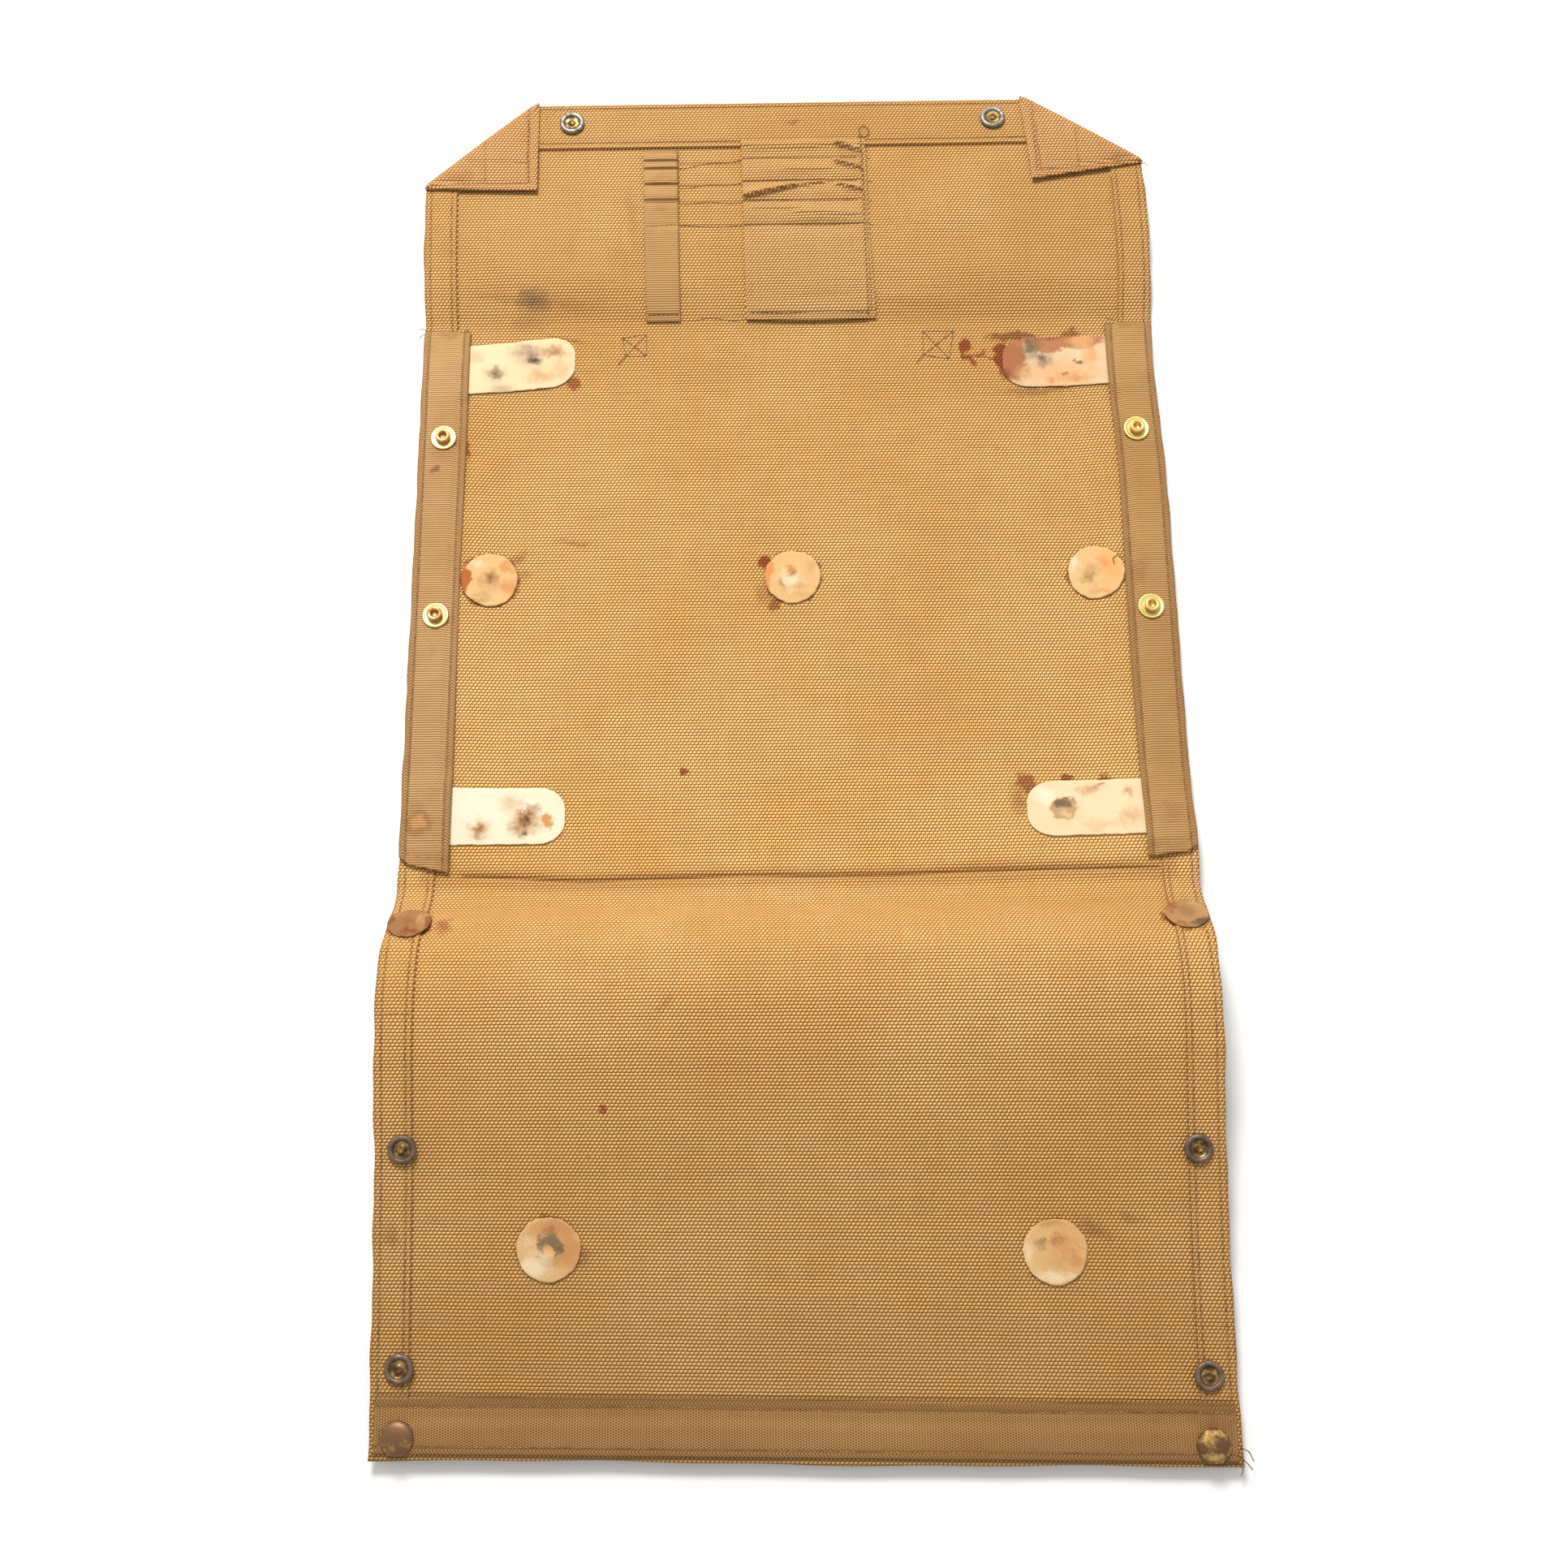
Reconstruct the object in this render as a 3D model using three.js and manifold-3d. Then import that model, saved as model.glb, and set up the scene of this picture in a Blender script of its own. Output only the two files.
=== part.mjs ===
// A canvas map case lying open on a table with its inside face up.
// One long sheet makes a flap, a back panel and a front panel, and every other piece is sewn,
// glued or riveted to it. Lengths are millimetres, X runs across the case, +Y from the front
// panel to the flap, +Z up, and the origin is on the table under the middle of the case.
import * as THREE from 'three';
import { mergeVertices } from 'three/addons/utils/BufferGeometryUtils.js';
import Module from 'manifold-3d';

const wasm = await Module();
wasm.setup();

// The sheet and its three panels, measured along the cloth
const CASE_WIDTH = 381;
const FLAP_LENGTH = 129.5;
const BACK_LENGTH = 298;
const FRONT_LENGTH = 271.5;
const FRONT_SKEW = 3.8;
const FLAP_SWAY = 2.5;
const CANVAS = 1.2;
const GAP = 0.3;

// Hems, where the canvas is turned over once and lies double
const SIDE_HEM = 17;
const FLAP_HEM = 28;
const FRONT_HEM = 15;
const HEM_STEP = 0.5;

// Heights that the open case keeps above the table
const FLAP_CROWN = 9.5;
const CREST_HEIGHT = 33;
const FRONT_LIFT = 4.8;
const EDGE_LIFT = 2.4;
const CREST_LEAN = 1.6;
const CREASE_RISE = 7;
const CREASE_PULL = 2.4;

// Flap corners turned over along a diagonal
const LEFT_CORNER_WIDTH = 60.5;
const LEFT_CORNER_DROP = 52.4;
const LEFT_TIP_INSET = 59.7;
const LEFT_TIP_DROP = 54;
const RIGHT_CORNER_WIDTH = 63;
const RIGHT_CORNER_DROP = 42;
const RIGHT_TIP_INSET = 59.5;
const RIGHT_TIP_DROP = 51;
const CORNER_PUFF = 0.9;

// Woven tapes, all of one width
const TAPE_WIDTH = 23.8;
const TAPE = 1;
const TAPE_EDGE_INSET = 0.4;
const SIDE_TAPE_TOP_INSET = 3;
const SIDE_TAPE_END_INSET = 10;
const SIDE_TAPE_END_CURL = 1.2;
const FRONT_TAPE_EDGE = 2.7;
const FRONT_TAPE_END = 2.5;

// Press fasteners: studs on the side tapes, sockets on the flap and the front panel
const FASTENER_INSET = 13;
const MATE_NEAR = 136.6;
const FAR_SOCKET_INSET = 38.3;
const FLAP_SOCKET_INSET = 13;
const FLAP_SOCKET_SIDE_INSET = 78;
const FLANGE_RADIUS = 6.6;
const FLANGE = 0.8;
const KNOB_RADIUS = 3.9;
const KNOB_HEIGHT = 3.6;
const KNOB_HOLE_RADIUS = 1.5;
const SOCKET_HEIGHT = 2.2;
const BOWL_CLEARANCE = 0.3;
const CENTRE_POST_RADIUS = 1.6;
const POST_RADIUS = 1.7;
const BACK_PLATE_RADIUS = 5.6;
const BACK_PLATE = 0.9;
const CAP_RADIUS = 7.5;
const CAP_HEIGHT = 2.9;
const CAP_INSET = 9.5;
const CAP_STUD_DEPTH = 3.6;

// Cotton tabs and round patches glued to the inside
const TAB_WIDTH = 28;
const TAB_REACH = 79;
const TAB_UNDER_TAPE = 3.4;
const TAB = 1;
const TAB_UPPER_INSET = 24;
const TAB_LOWER_INSET = 34.5;
const TAB_TILT = 4;
const PATCH = 0.8;
const PATCH_DIAMETER = 28;
const LOWER_PATCH_DIAMETER = 28.6;
const HEM_PATCH_DIAMETER = 20;
const MIDDLE_PATCH_DROP = 141.5;
const HEM_PATCH_DROP = 29.5;
const HEM_PATCH_INSET = 10.8;

// Pencil tape and tool pocket on the flap
const PENCIL_TAPE_WIDTH = 18;
const PENCIL_TAPE_X = 65.6;
const PENCIL_TAPE_TOP = 29.6;
const PENCIL_TAPE_END = 2;
const PENCIL_LOOP = 2.3;
const POCKET_WIDTH = 66.5;
const POCKET_X = 10.8;
const POCKET_TOP = 25.4;
const POCKET_END = 2.4;
const POCKET_CLOTH = 1;
const POCKET_PUFF = 2.6;
const POCKET_PLEAT = 2.2;

const SMOOTH = 14;
const HALF = CASE_WIDTH / 2;
const BACK_START = FLAP_LENGTH;
const FRONT_START = FLAP_LENGTH + BACK_LENGTH;
const SHEET_LENGTH = FRONT_START + FRONT_LENGTH;
const HEM = 2 * CANVAS;
const MATE_FAR = FRONT_LENGTH - FAR_SOCKET_INSET;
const FLAP_SOCKET_X = HALF - FLAP_SOCKET_SIDE_INSET;

// Height of the sheet's underside along its middle line. Each row says how far along its
// panel it lies and what share of a named height it keeps.
const spineRows = [
  { start: 0, panel: FLAP_LENGTH, along: 0, height: FLAP_CROWN, share: 0.88 },
  { start: 0, panel: FLAP_LENGTH, along: 0.26, height: FLAP_CROWN, share: 1 },
  { start: 0, panel: FLAP_LENGTH, along: 0.54, height: FLAP_CROWN, share: 0.97 },
  { start: 0, panel: FLAP_LENGTH, along: 0.78, height: FLAP_CROWN, share: 0.74 },
  { start: 0, panel: FLAP_LENGTH, along: 0.92, height: FLAP_CROWN, share: 0.4 },
  { start: 0, panel: FLAP_LENGTH, along: 1, height: FLAP_CROWN, share: 0.12 },
  { start: BACK_START, panel: BACK_LENGTH, along: 0.05, height: FLAP_CROWN, share: 0.06 },
  { start: BACK_START, panel: BACK_LENGTH, along: 0.13, height: FLAP_CROWN, share: 0 },
  { start: BACK_START, panel: BACK_LENGTH, along: 0.5, height: FLAP_CROWN, share: 0 },
  { start: BACK_START, panel: BACK_LENGTH, along: 0.9, height: FLAP_CROWN, share: 0 },
  { start: FRONT_START, panel: FRONT_LENGTH, along: 0, height: CREST_HEIGHT, share: 0.04 },
  { start: FRONT_START, panel: FRONT_LENGTH, along: 0.045, height: CREST_HEIGHT, share: 0.2 },
  { start: FRONT_START, panel: FRONT_LENGTH, along: 0.11, height: CREST_HEIGHT, share: 0.6 },
  { start: FRONT_START, panel: FRONT_LENGTH, along: 0.18, height: CREST_HEIGHT, share: 0.9 },
  { start: FRONT_START, panel: FRONT_LENGTH, along: 0.25, height: CREST_HEIGHT, share: 1 },
  { start: FRONT_START, panel: FRONT_LENGTH, along: 0.32, height: CREST_HEIGHT, share: 0.95 },
  { start: FRONT_START, panel: FRONT_LENGTH, along: 0.4, height: CREST_HEIGHT, share: 0.8 },
  { start: FRONT_START, panel: FRONT_LENGTH, along: 0.58, height: CREST_HEIGHT, share: 0.48 },
  { start: FRONT_START, panel: FRONT_LENGTH, along: 0.8, height: CREST_HEIGHT, share: 0.26 },
  { start: FRONT_START, panel: FRONT_LENGTH, along: 1, height: FRONT_LIFT, share: 1 },
];

// A smooth curve through rising and falling points that never overshoots them
function monotoneCurve(points) {
  const last = points.length - 1;
  const slopes = [];
  for (let i = 0; i < last; i += 1) {
    slopes.push((points[i + 1].value - points[i].value) / (points[i + 1].at - points[i].at));
  }
  const tangents = [slopes[0]];
  for (let i = 1; i < last; i += 1) {
    const product = slopes[i - 1] * slopes[i];
    tangents.push(product > 0 ? (2 * product) / (slopes[i - 1] + slopes[i]) : 0);
  }
  tangents.push(slopes[last - 1]);
  return (at) => {
    let i = 0;
    while (i < last - 1 && at > points[i + 1].at) i += 1;
    const span = points[i + 1].at - points[i].at;
    const t = THREE.MathUtils.clamp((at - points[i].at) / span, 0, 1);
    const rise = points[i + 1].value - points[i].value;
    const bend = t * (1 - t);
    const ease = t * t * (3 - 2 * t);
    const pull = bend * ((1 - t) * tangents[i] - t * tangents[i + 1]) * span;
    return points[i].value + rise * ease + pull;
  };
}

const spineHeight = monotoneCurve(
  spineRows.map((row) => ({ at: row.start + row.panel * row.along, value: row.height * row.share })),
);

// The sheet's run along Y follows from its length along the cloth and its slope
const SPINE_STEPS = 1400;
const spineRun = [0];
for (let i = 0; i < SPINE_STEPS; i += 1) {
  const step = SHEET_LENGTH / SPINE_STEPS;
  const rise = spineHeight((i + 1) * step) - spineHeight(i * step);
  spineRun.push(spineRun[i] + Math.sqrt(Math.max(step * step - rise * rise, 0.04 * step * step)));
}
function runAt(along) {
  const t = (THREE.MathUtils.clamp(along, 0, SHEET_LENGTH) / SHEET_LENGTH) * SPINE_STEPS;
  const i = Math.min(Math.floor(t), SPINE_STEPS - 1);
  const inside = spineRun[i] + (spineRun[i + 1] - spineRun[i]) * (t - i);
  return inside + Math.max(along - SHEET_LENGTH, 0) + Math.min(along, 0);
}
const MIDDLE_RUN = spineRun[SPINE_STEPS] / 2;

function ramp(value, from, to) {
  return THREE.MathUtils.smoothstep(value, from, to);
}

// The side edges of the back panel ride up over the fasteners' backs, and the front panel
// leans a little to one side
function edgeLift(x, along) {
  const side = ramp(Math.abs(x), HALF - 50, HALF - 23);
  const head = ramp(along, BACK_START, BACK_START + 0.12 * BACK_LENGTH);
  const foot = 1 - ramp(along, FRONT_START - 0.12 * BACK_LENGTH, FRONT_START);
  return EDGE_LIFT * side * Math.min(head, foot);
}
function lean(x, along) {
  const rise = ramp(along, FRONT_START + 0.12 * FRONT_LENGTH, FRONT_START + 0.4 * FRONT_LENGTH);
  const settle = 1 - ramp(along, FRONT_START + 0.7 * FRONT_LENGTH, SHEET_LENGTH);
  return (-CREST_LEAN * rise * settle * x) / HALF;
}

// The right end of the lower crease stands off the table
function creaseRise(x, along) {
  const away = Math.abs(along - FRONT_START + 0.03 * BACK_LENGTH) / (0.16 * BACK_LENGTH);
  return CREASE_RISE * ramp(x, 0.3 * HALF, HALF) * (1 - ramp(away, 0, 1));
}

// Sideways the flap leans a little to the left, and the upper crease pulls in on the right
function sideShift(x, along) {
  const sway = -FLAP_SWAY * Math.max(1 - along / FLAP_LENGTH, 0);
  const away = Math.abs(along - BACK_START - 0.2 * FLAP_LENGTH) / (0.55 * FLAP_LENGTH);
  return sway - CREASE_PULL * ramp(x, 0.3 * HALF, HALF) * (1 - ramp(away, 0, 1));
}

// A point of the cloth: across, along, and out from its underside along the normal
function middlePoint(x, along) {
  const late = ramp(along, FRONT_START + 0.1 * FRONT_LENGTH, FRONT_START + 0.9 * FRONT_LENGTH);
  const skewed = along + (FRONT_SKEW * late * x) / HALF;
  const height = spineHeight(skewed) + edgeLift(x, along) + lean(x, along) + creaseRise(x, along);
  return new THREE.Vector3(x + sideShift(x, along), MIDDLE_RUN - runAt(skewed), height);
}
function normalAt(x, along) {
  const reach = 1.5;
  const across = middlePoint(x + reach, along).sub(middlePoint(x - reach, along));
  const down = middlePoint(x, along + reach).sub(middlePoint(x, along - reach));
  return down.cross(across).normalize();
}
function clothPoint(x, along, out) {
  return middlePoint(x, along).addScaledVector(normalAt(x, along), out);
}

// The flap narrows towards its top edge where its corners are turned over
function leftEdge(along) {
  const cut = Math.max(1 - along / LEFT_CORNER_DROP, 0);
  return -HALF + LEFT_CORNER_WIDTH * cut;
}
function rightEdge(along) {
  const cut = Math.max(1 - along / RIGHT_CORNER_DROP, 0);
  return HALF - RIGHT_CORNER_WIDTH * cut;
}

// Turn raw triangles into one closed solid with its faces pointing out
function closed(geometry) {
  const bare = new THREE.BufferGeometry();
  bare.setAttribute('position', geometry.getAttribute('position').clone());
  if (geometry.index) bare.setIndex(geometry.index.clone());
  const merged = mergeVertices(bare, 1e-3);
  const position = merged.getAttribute('position');
  const index = [];
  let volume = 0;
  const a = new THREE.Vector3();
  const b = new THREE.Vector3();
  const c = new THREE.Vector3();
  for (let i = 0; i < merged.index.count; i += 3) {
    const corners = [merged.index.getX(i), merged.index.getX(i + 1), merged.index.getX(i + 2)];
    if (new Set(corners).size < 3) continue;
    a.fromBufferAttribute(position, corners[0]);
    b.fromBufferAttribute(position, corners[1]);
    c.fromBufferAttribute(position, corners[2]);
    volume += a.dot(b.cross(c));
    index.push(...corners);
  }
  if (volume < 0) index.reverse();
  merged.setIndex(index);
  return merged;
}
function toSolid(geometry) {
  const merged = closed(geometry);
  const vertProperties = new Float32Array(merged.getAttribute('position').array);
  const triVerts = new Uint32Array(merged.index.array);
  return new wasm.Manifold(new wasm.Mesh({ numProp: 3, vertProperties, triVerts }));
}
function toGeometry(solid) {
  const mesh = solid.getMesh();
  const geometry = new THREE.BufferGeometry();
  const position = new THREE.BufferAttribute(new Float32Array(mesh.vertProperties), 3);
  geometry.setAttribute('position', position);
  geometry.setIndex(new THREE.BufferAttribute(new Uint32Array(mesh.triVerts), 1));
  return geometry;
}

// A layer of cloth: a grid of stations, each with a place on the sheet and a lower and an
// upper distance from the sheet's underside
function layer(across, along, station) {
  const lower = [];
  const upper = [];
  for (let j = 0; j < along; j += 1) {
    for (let i = 0; i < across; i += 1) {
      const spot = station(i, j);
      lower.push(clothPoint(spot.x, spot.along, spot.low));
      upper.push(clothPoint(spot.x, spot.along, spot.high));
    }
  }
  const points = [...upper, ...lower];
  const under = upper.length;
  const index = [];
  for (let j = 0; j < along - 1; j += 1) {
    for (let i = 0; i < across - 1; i += 1) {
      const a = j * across + i;
      const b = a + 1;
      const c = b + across;
      const d = a + across;
      index.push(a, d, c, a, c, b);
      index.push(under + a, under + c, under + d, under + a, under + b, under + c);
    }
  }
  const rim = [];
  for (let i = 0; i < across - 1; i += 1) rim.push([i, i + 1]);
  for (let j = 0; j < along - 1; j += 1) rim.push([j * across + across - 1, (j + 2) * across - 1]);
  for (let i = across - 1; i > 0; i -= 1) {
    rim.push([(along - 1) * across + i, (along - 1) * across + i - 1]);
  }
  for (let j = along - 1; j > 0; j -= 1) rim.push([j * across, (j - 1) * across]);
  for (const [from, to] of rim) {
    index.push(from, to, under + to, from, under + to, under + from);
  }
  const geometry = new THREE.BufferGeometry().setFromPoints(points);
  geometry.setIndex(index);
  return closed(geometry);
}

// Stations along the sheet, close together where it bends
const flapStations = [0, 0.11, 0.5, 0.6, 0.7, 0.79, 0.87, 0.94, 1];
const backStations = [0.03, 0.07, 0.12, 0.35, 0.6, 0.81, 0.84, 0.87, 0.9, 0.93, 0.965];
const frontStations = [
  0, 0.022, 0.045, 0.075, 0.11, 0.145, 0.18, 0.215, 0.25, 0.285, 0.32, 0.37, 0.43, 0.5, 0.58,
  0.67, 0.76, 0.85,
];
const sheetStations = [
  ...flapStations.map((share) => share * FLAP_LENGTH),
  ...backStations.map((share) => BACK_START + share * BACK_LENGTH),
  ...frontStations.map((share) => FRONT_START + share * FRONT_LENGTH),
  SHEET_LENGTH - FRONT_HEM - HEM_STEP,
  SHEET_LENGTH - FRONT_HEM,
  SHEET_LENGTH,
  FLAP_HEM,
  FLAP_HEM + HEM_STEP,
  LEFT_CORNER_DROP,
  RIGHT_CORNER_DROP,
].sort((a, b) => a - b);
function stationsBetween(from, to, extra = []) {
  const inside = sheetStations.filter((along) => along > from + 1 && along < to - 1);
  const all = [from, ...inside, ...extra.filter((along) => along > from && along < to), to];
  all.sort((a, b) => a - b);
  return all.filter((along, i) => i === 0 || along - all[i - 1] > 0.2);
}

// Thickness of the sheet at a place, one layer or two
function sheetTop(x, along) {
  const left = x - leftEdge(along);
  const right = rightEdge(along) - x;
  if (Math.min(left, right) < SIDE_HEM + 0.01) return HEM;
  if (along < FLAP_HEM + 0.01) return HEM;
  if (along > SHEET_LENGTH - FRONT_HEM - 0.01) return HEM;
  return CANVAS;
}

// Bolt holes through the cloth for a fastener's post, square to the cloth
function fastenerFrame(x, along) {
  const up = normalAt(x, along);
  const side = new THREE.Vector3(1, 0, 0).addScaledVector(up, -up.x).normalize();
  const back = new THREE.Vector3().crossVectors(side, up);
  const basis = new THREE.Matrix4().makeBasis(side, up, back);
  basis.setPosition(middlePoint(x, along));
  return basis;
}
function pierce(geometry, places) {
  let solid = toSolid(geometry);
  for (const place of places) {
    const hole = new THREE.CylinderGeometry(POST_RADIUS + GAP, POST_RADIUS + GAP, 24, 12);
    hole.applyMatrix4(fastenerFrame(place.x, place.along));
    solid = solid.subtract(toSolid(hole));
  }
  return toGeometry(solid);
}

// Places of the fasteners
const sideX = HALF - FASTENER_INSET;
const tapeStuds = [
  { name: 'tape_stud_left_upper', x: -sideX, along: FRONT_START - MATE_FAR },
  { name: 'tape_stud_left_lower', x: -sideX, along: FRONT_START - MATE_NEAR },
  { name: 'tape_stud_right_upper', x: sideX, along: FRONT_START - MATE_FAR },
  { name: 'tape_stud_right_lower', x: sideX, along: FRONT_START - MATE_NEAR },
];
const frontSockets = [
  { name: 'front_socket_left_upper', x: -sideX, along: FRONT_START + MATE_NEAR },
  { name: 'front_socket_left_lower', x: -sideX, along: FRONT_START + MATE_FAR },
  { name: 'front_socket_right_upper', x: sideX, along: FRONT_START + MATE_NEAR },
  { name: 'front_socket_right_lower', x: sideX, along: FRONT_START + MATE_FAR },
];
const flapSockets = [
  { name: 'flap_socket_left', x: -FLAP_SOCKET_X, along: FLAP_SOCKET_INSET },
  { name: 'flap_socket_right', x: FLAP_SOCKET_X, along: FLAP_SOCKET_INSET },
];
const caps = [
  { name: 'snap_cap_left', x: -sideX, along: SHEET_LENGTH - CAP_INSET },
  { name: 'snap_cap_right', x: sideX, along: SHEET_LENGTH - CAP_INSET },
];

const group = new THREE.Group();
function add(name, geometry, material, frame) {
  const mesh = new THREE.Mesh(geometry, material);
  mesh.name = name;
  if (frame) {
    frame.decompose(mesh.position, mesh.quaternion, mesh.scale);
  }
  group.add(mesh);
  return mesh;
}
function cloth(color) {
  return new THREE.MeshStandardMaterial({ color, roughness: 0.92, metalness: 0 });
}
const canvasMaterial = cloth(0xb98a4e);
const tapeMaterial = cloth(0xa5834a);
const pocketMaterial = cloth(0x9c8550);
const cottonMaterial = cloth(0xcdb489);
const brassMaterial = new THREE.MeshStandardMaterial({ color: 0xb79a54, roughness: 0.35, metalness: 1 });
const bronzeMaterial = new THREE.MeshStandardMaterial({ color: 0x6e5a44, roughness: 0.5, metalness: 1 });

// The canvas sheet with its hems
const hemColumn = HALF - SIDE_HEM;
const sheetColumns = [
  HALF, hemColumn, hemColumn - HEM_STEP, HALF - 23, HALF - 36, HALF - 50, 0.5 * HALF, 0.25 * HALF,
];
const columns = [...sheetColumns.map((x) => -x), 0, ...sheetColumns.reverse()];
const sheetGrid = layer(columns.length, sheetStations.length, (i, j) => {
  const along = sheetStations[j];
  const left = leftEdge(along);
  const right = rightEdge(along);
  let x = columns[i];
  if (x < 0) {
    const rim = x + HALF <= SIDE_HEM + HEM_STEP + 0.01;
    x = rim ? left + (x + HALF) : (x / -hemColumn) * (left + SIDE_HEM);
  } else {
    const rim = HALF - x <= SIDE_HEM + HEM_STEP + 0.01;
    x = rim ? right - (HALF - x) : (x / hemColumn) * (right - SIDE_HEM);
  }
  return { x, along, low: 0, high: sheetTop(x, along) };
});

// A flap corner folded over along its diagonal. Its section runs from inside the sheet's edge
// round the fold and back over the hem, and ends at the hemmed edges that meet in its tip.
function foldedCorner(side, width, drop, tipInset, tipDrop) {
  const rim = side * HALF;
  const start = { x: rim - side * width, along: 0 };
  const end = { x: rim, along: drop };
  const length = Math.hypot(width, drop);
  const run = { x: (side * width) / length, along: drop / length };
  const inward = { x: -run.along * side, along: (run.x * side) };
  const tip = { x: rim - side * tipInset - start.x, along: tipDrop };
  const foot = tip.x * run.x + tip.along * run.along;
  const depth = tip.x * inward.x + tip.along * inward.along;
  const top = HEM + GAP + CANVAS + CORNER_PUFF;
  const stations = 11;
  const section = [
    { deep: 0, fixed: 1, out: 0.15 },
    { deep: 0, fixed: -1.3, out: 0.35 },
    { deep: 0, fixed: -2, out: 0.5 * top },
    { deep: 0, fixed: -1.2, out: 0.88 * top },
    { deep: 0, fixed: 0.6, out: top },
    { deep: 0.4, fixed: 0.6, out: top - 0.3 * CORNER_PUFF },
    { deep: 0.75, fixed: 0.6, out: top - 0.7 * CORNER_PUFF },
    { deep: 1, fixed: 0.6, out: top - CORNER_PUFF },
    { deep: 1, fixed: 0.6, out: HEM + GAP },
    { deep: 0.5, fixed: 0.6, out: HEM + GAP + 0.2 * CORNER_PUFF },
    { deep: 0, fixed: 1.6, out: HEM + GAP },
  ];
  const points = [];
  for (let j = 0; j < stations; j += 1) {
    const u = 0.02 + (0.96 * j) / (stations - 1);
    const at = u * length;
    const height = at < foot ? (at / foot) * depth : ((length - at) / (length - foot)) * depth;
    for (const row of section) {
      const deep = row.deep * Math.max(height - 0.6, 1) + row.fixed;
      const x = start.x + run.x * at + inward.x * deep;
      const along = start.along + run.along * at + inward.along * deep;
      points.push(clothPoint(x, along, row.out));
    }
  }
  const ring = section.length;
  const index = [];
  for (let j = 0; j < stations - 1; j += 1) {
    for (let i = 0; i < ring; i += 1) {
      const a = j * ring + i;
      const b = j * ring + ((i + 1) % ring);
      index.push(a, b, b + ring, a, b + ring, a + ring);
    }
  }
  for (let i = 1; i < ring - 1; i += 1) {
    index.push(0, i + 1, i);
    const base = (stations - 1) * ring;
    index.push(base, base + i, base + i + 1);
  }
  const geometry = new THREE.BufferGeometry().setFromPoints(points);
  geometry.setIndex(index);
  return toSolid(geometry);
}
const sheetSolid = toSolid(sheetGrid)
  .add(foldedCorner(-1, LEFT_CORNER_WIDTH, LEFT_CORNER_DROP, LEFT_TIP_INSET, LEFT_TIP_DROP))
  .add(foldedCorner(1, RIGHT_CORNER_WIDTH, RIGHT_CORNER_DROP, RIGHT_TIP_INSET, RIGHT_TIP_DROP));
const sheetHoles = [...tapeStuds, ...frontSockets, ...flapSockets, ...caps];
add('canvas_sheet', pierce(toGeometry(sheetSolid), sheetHoles), canvasMaterial);

// Side tapes on the back panel. They step down from the hem to the single canvas and ride
// over the outer ends of the tabs.
const tapeOuter = HALF - TAPE_EDGE_INSET;
const tapeInner = tapeOuter - TAPE_WIDTH;
const tabUpper = BACK_START + TAB_UPPER_INSET;
const tabLower = FRONT_START - TAB_LOWER_INSET;
const tabReachEdge = TAB_WIDTH / 2 + 2.5;
const sideTapeTop = BACK_START + SIDE_TAPE_TOP_INSET;
const sideTapeEnd = FRONT_START - SIDE_TAPE_END_INSET;
const tapeStations = stationsBetween(sideTapeTop, sideTapeEnd, [
  tabUpper - tabReachEdge - 5, tabUpper - tabReachEdge, tabUpper + tabReachEdge,
  tabUpper + tabReachEdge + 5, tabLower - tabReachEdge - 5, tabLower - tabReachEdge,
  tabLower + tabReachEdge, tabLower + tabReachEdge + 5, sideTapeEnd - 6,
]);
function overTab(along) {
  const near = Math.min(Math.abs(along - tabUpper), Math.abs(along - tabLower));
  return 1 - ramp(near, tabReachEdge, tabReachEdge + 5);
}
function sideTape(side) {
  const hemmed = HEM + GAP;
  const inside = CANVAS + GAP;
  const across = [
    { x: tapeInner, low: inside },
    { x: hemColumn - HEM_STEP - 2, low: inside },
    { x: hemColumn - HEM_STEP, low: hemmed },
    { x: 0.5 * (hemColumn + tapeOuter), low: hemmed },
    { x: tapeOuter, low: hemmed },
  ];
  return layer(across.length, tapeStations.length, (i, j) => {
    const along = tapeStations[j];
    const row = side > 0 ? across[i] : across[across.length - 1 - i];
    const curl = SIDE_TAPE_END_CURL * ramp(along, sideTapeEnd - 14, sideTapeEnd);
    const over = overTab(along) * (TAB + GAP) * (row.low < hemmed ? 1 : 0.4);
    const low = row.low + over + curl;
    return { x: side * row.x, along, low, high: low + TAPE };
  });
}
add('side_tape_left', pierce(sideTape(-1), tapeStuds.filter((stud) => stud.x < 0)), tapeMaterial);
add('side_tape_right', pierce(sideTape(1), tapeStuds.filter((stud) => stud.x > 0)), tapeMaterial);

// The front tape along the bottom edge
const frontTapeLow = SHEET_LENGTH - FRONT_TAPE_EDGE;
const frontTapeTop = frontTapeLow - TAPE_WIDTH;
const frontTapeStations = stationsBetween(frontTapeTop, frontTapeLow, [
  SHEET_LENGTH - FRONT_HEM - HEM_STEP - 2,
]);
const frontTapeEnd = HALF - FRONT_TAPE_END;
const frontTapeHalf = [frontTapeEnd, hemColumn - HEM_STEP, hemColumn - HEM_STEP - 2, 0.6 * HALF, 0.3 * HALF];
const frontTapeColumns = [...frontTapeHalf.map((x) => -x), 0, ...frontTapeHalf.reverse()];
const frontTape = layer(frontTapeColumns.length, frontTapeStations.length, (i, j) => {
  const x = frontTapeColumns[i];
  const along = frontTapeStations[j];
  const double = Math.abs(x) > hemColumn - HEM_STEP - 1 || along > SHEET_LENGTH - FRONT_HEM - HEM_STEP - 1;
  const low = (double ? HEM : CANVAS) + GAP;
  return { x, along, low, high: low + TAPE };
});
add('front_tape', pierce(frontTape, caps), tapeMaterial);

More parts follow.
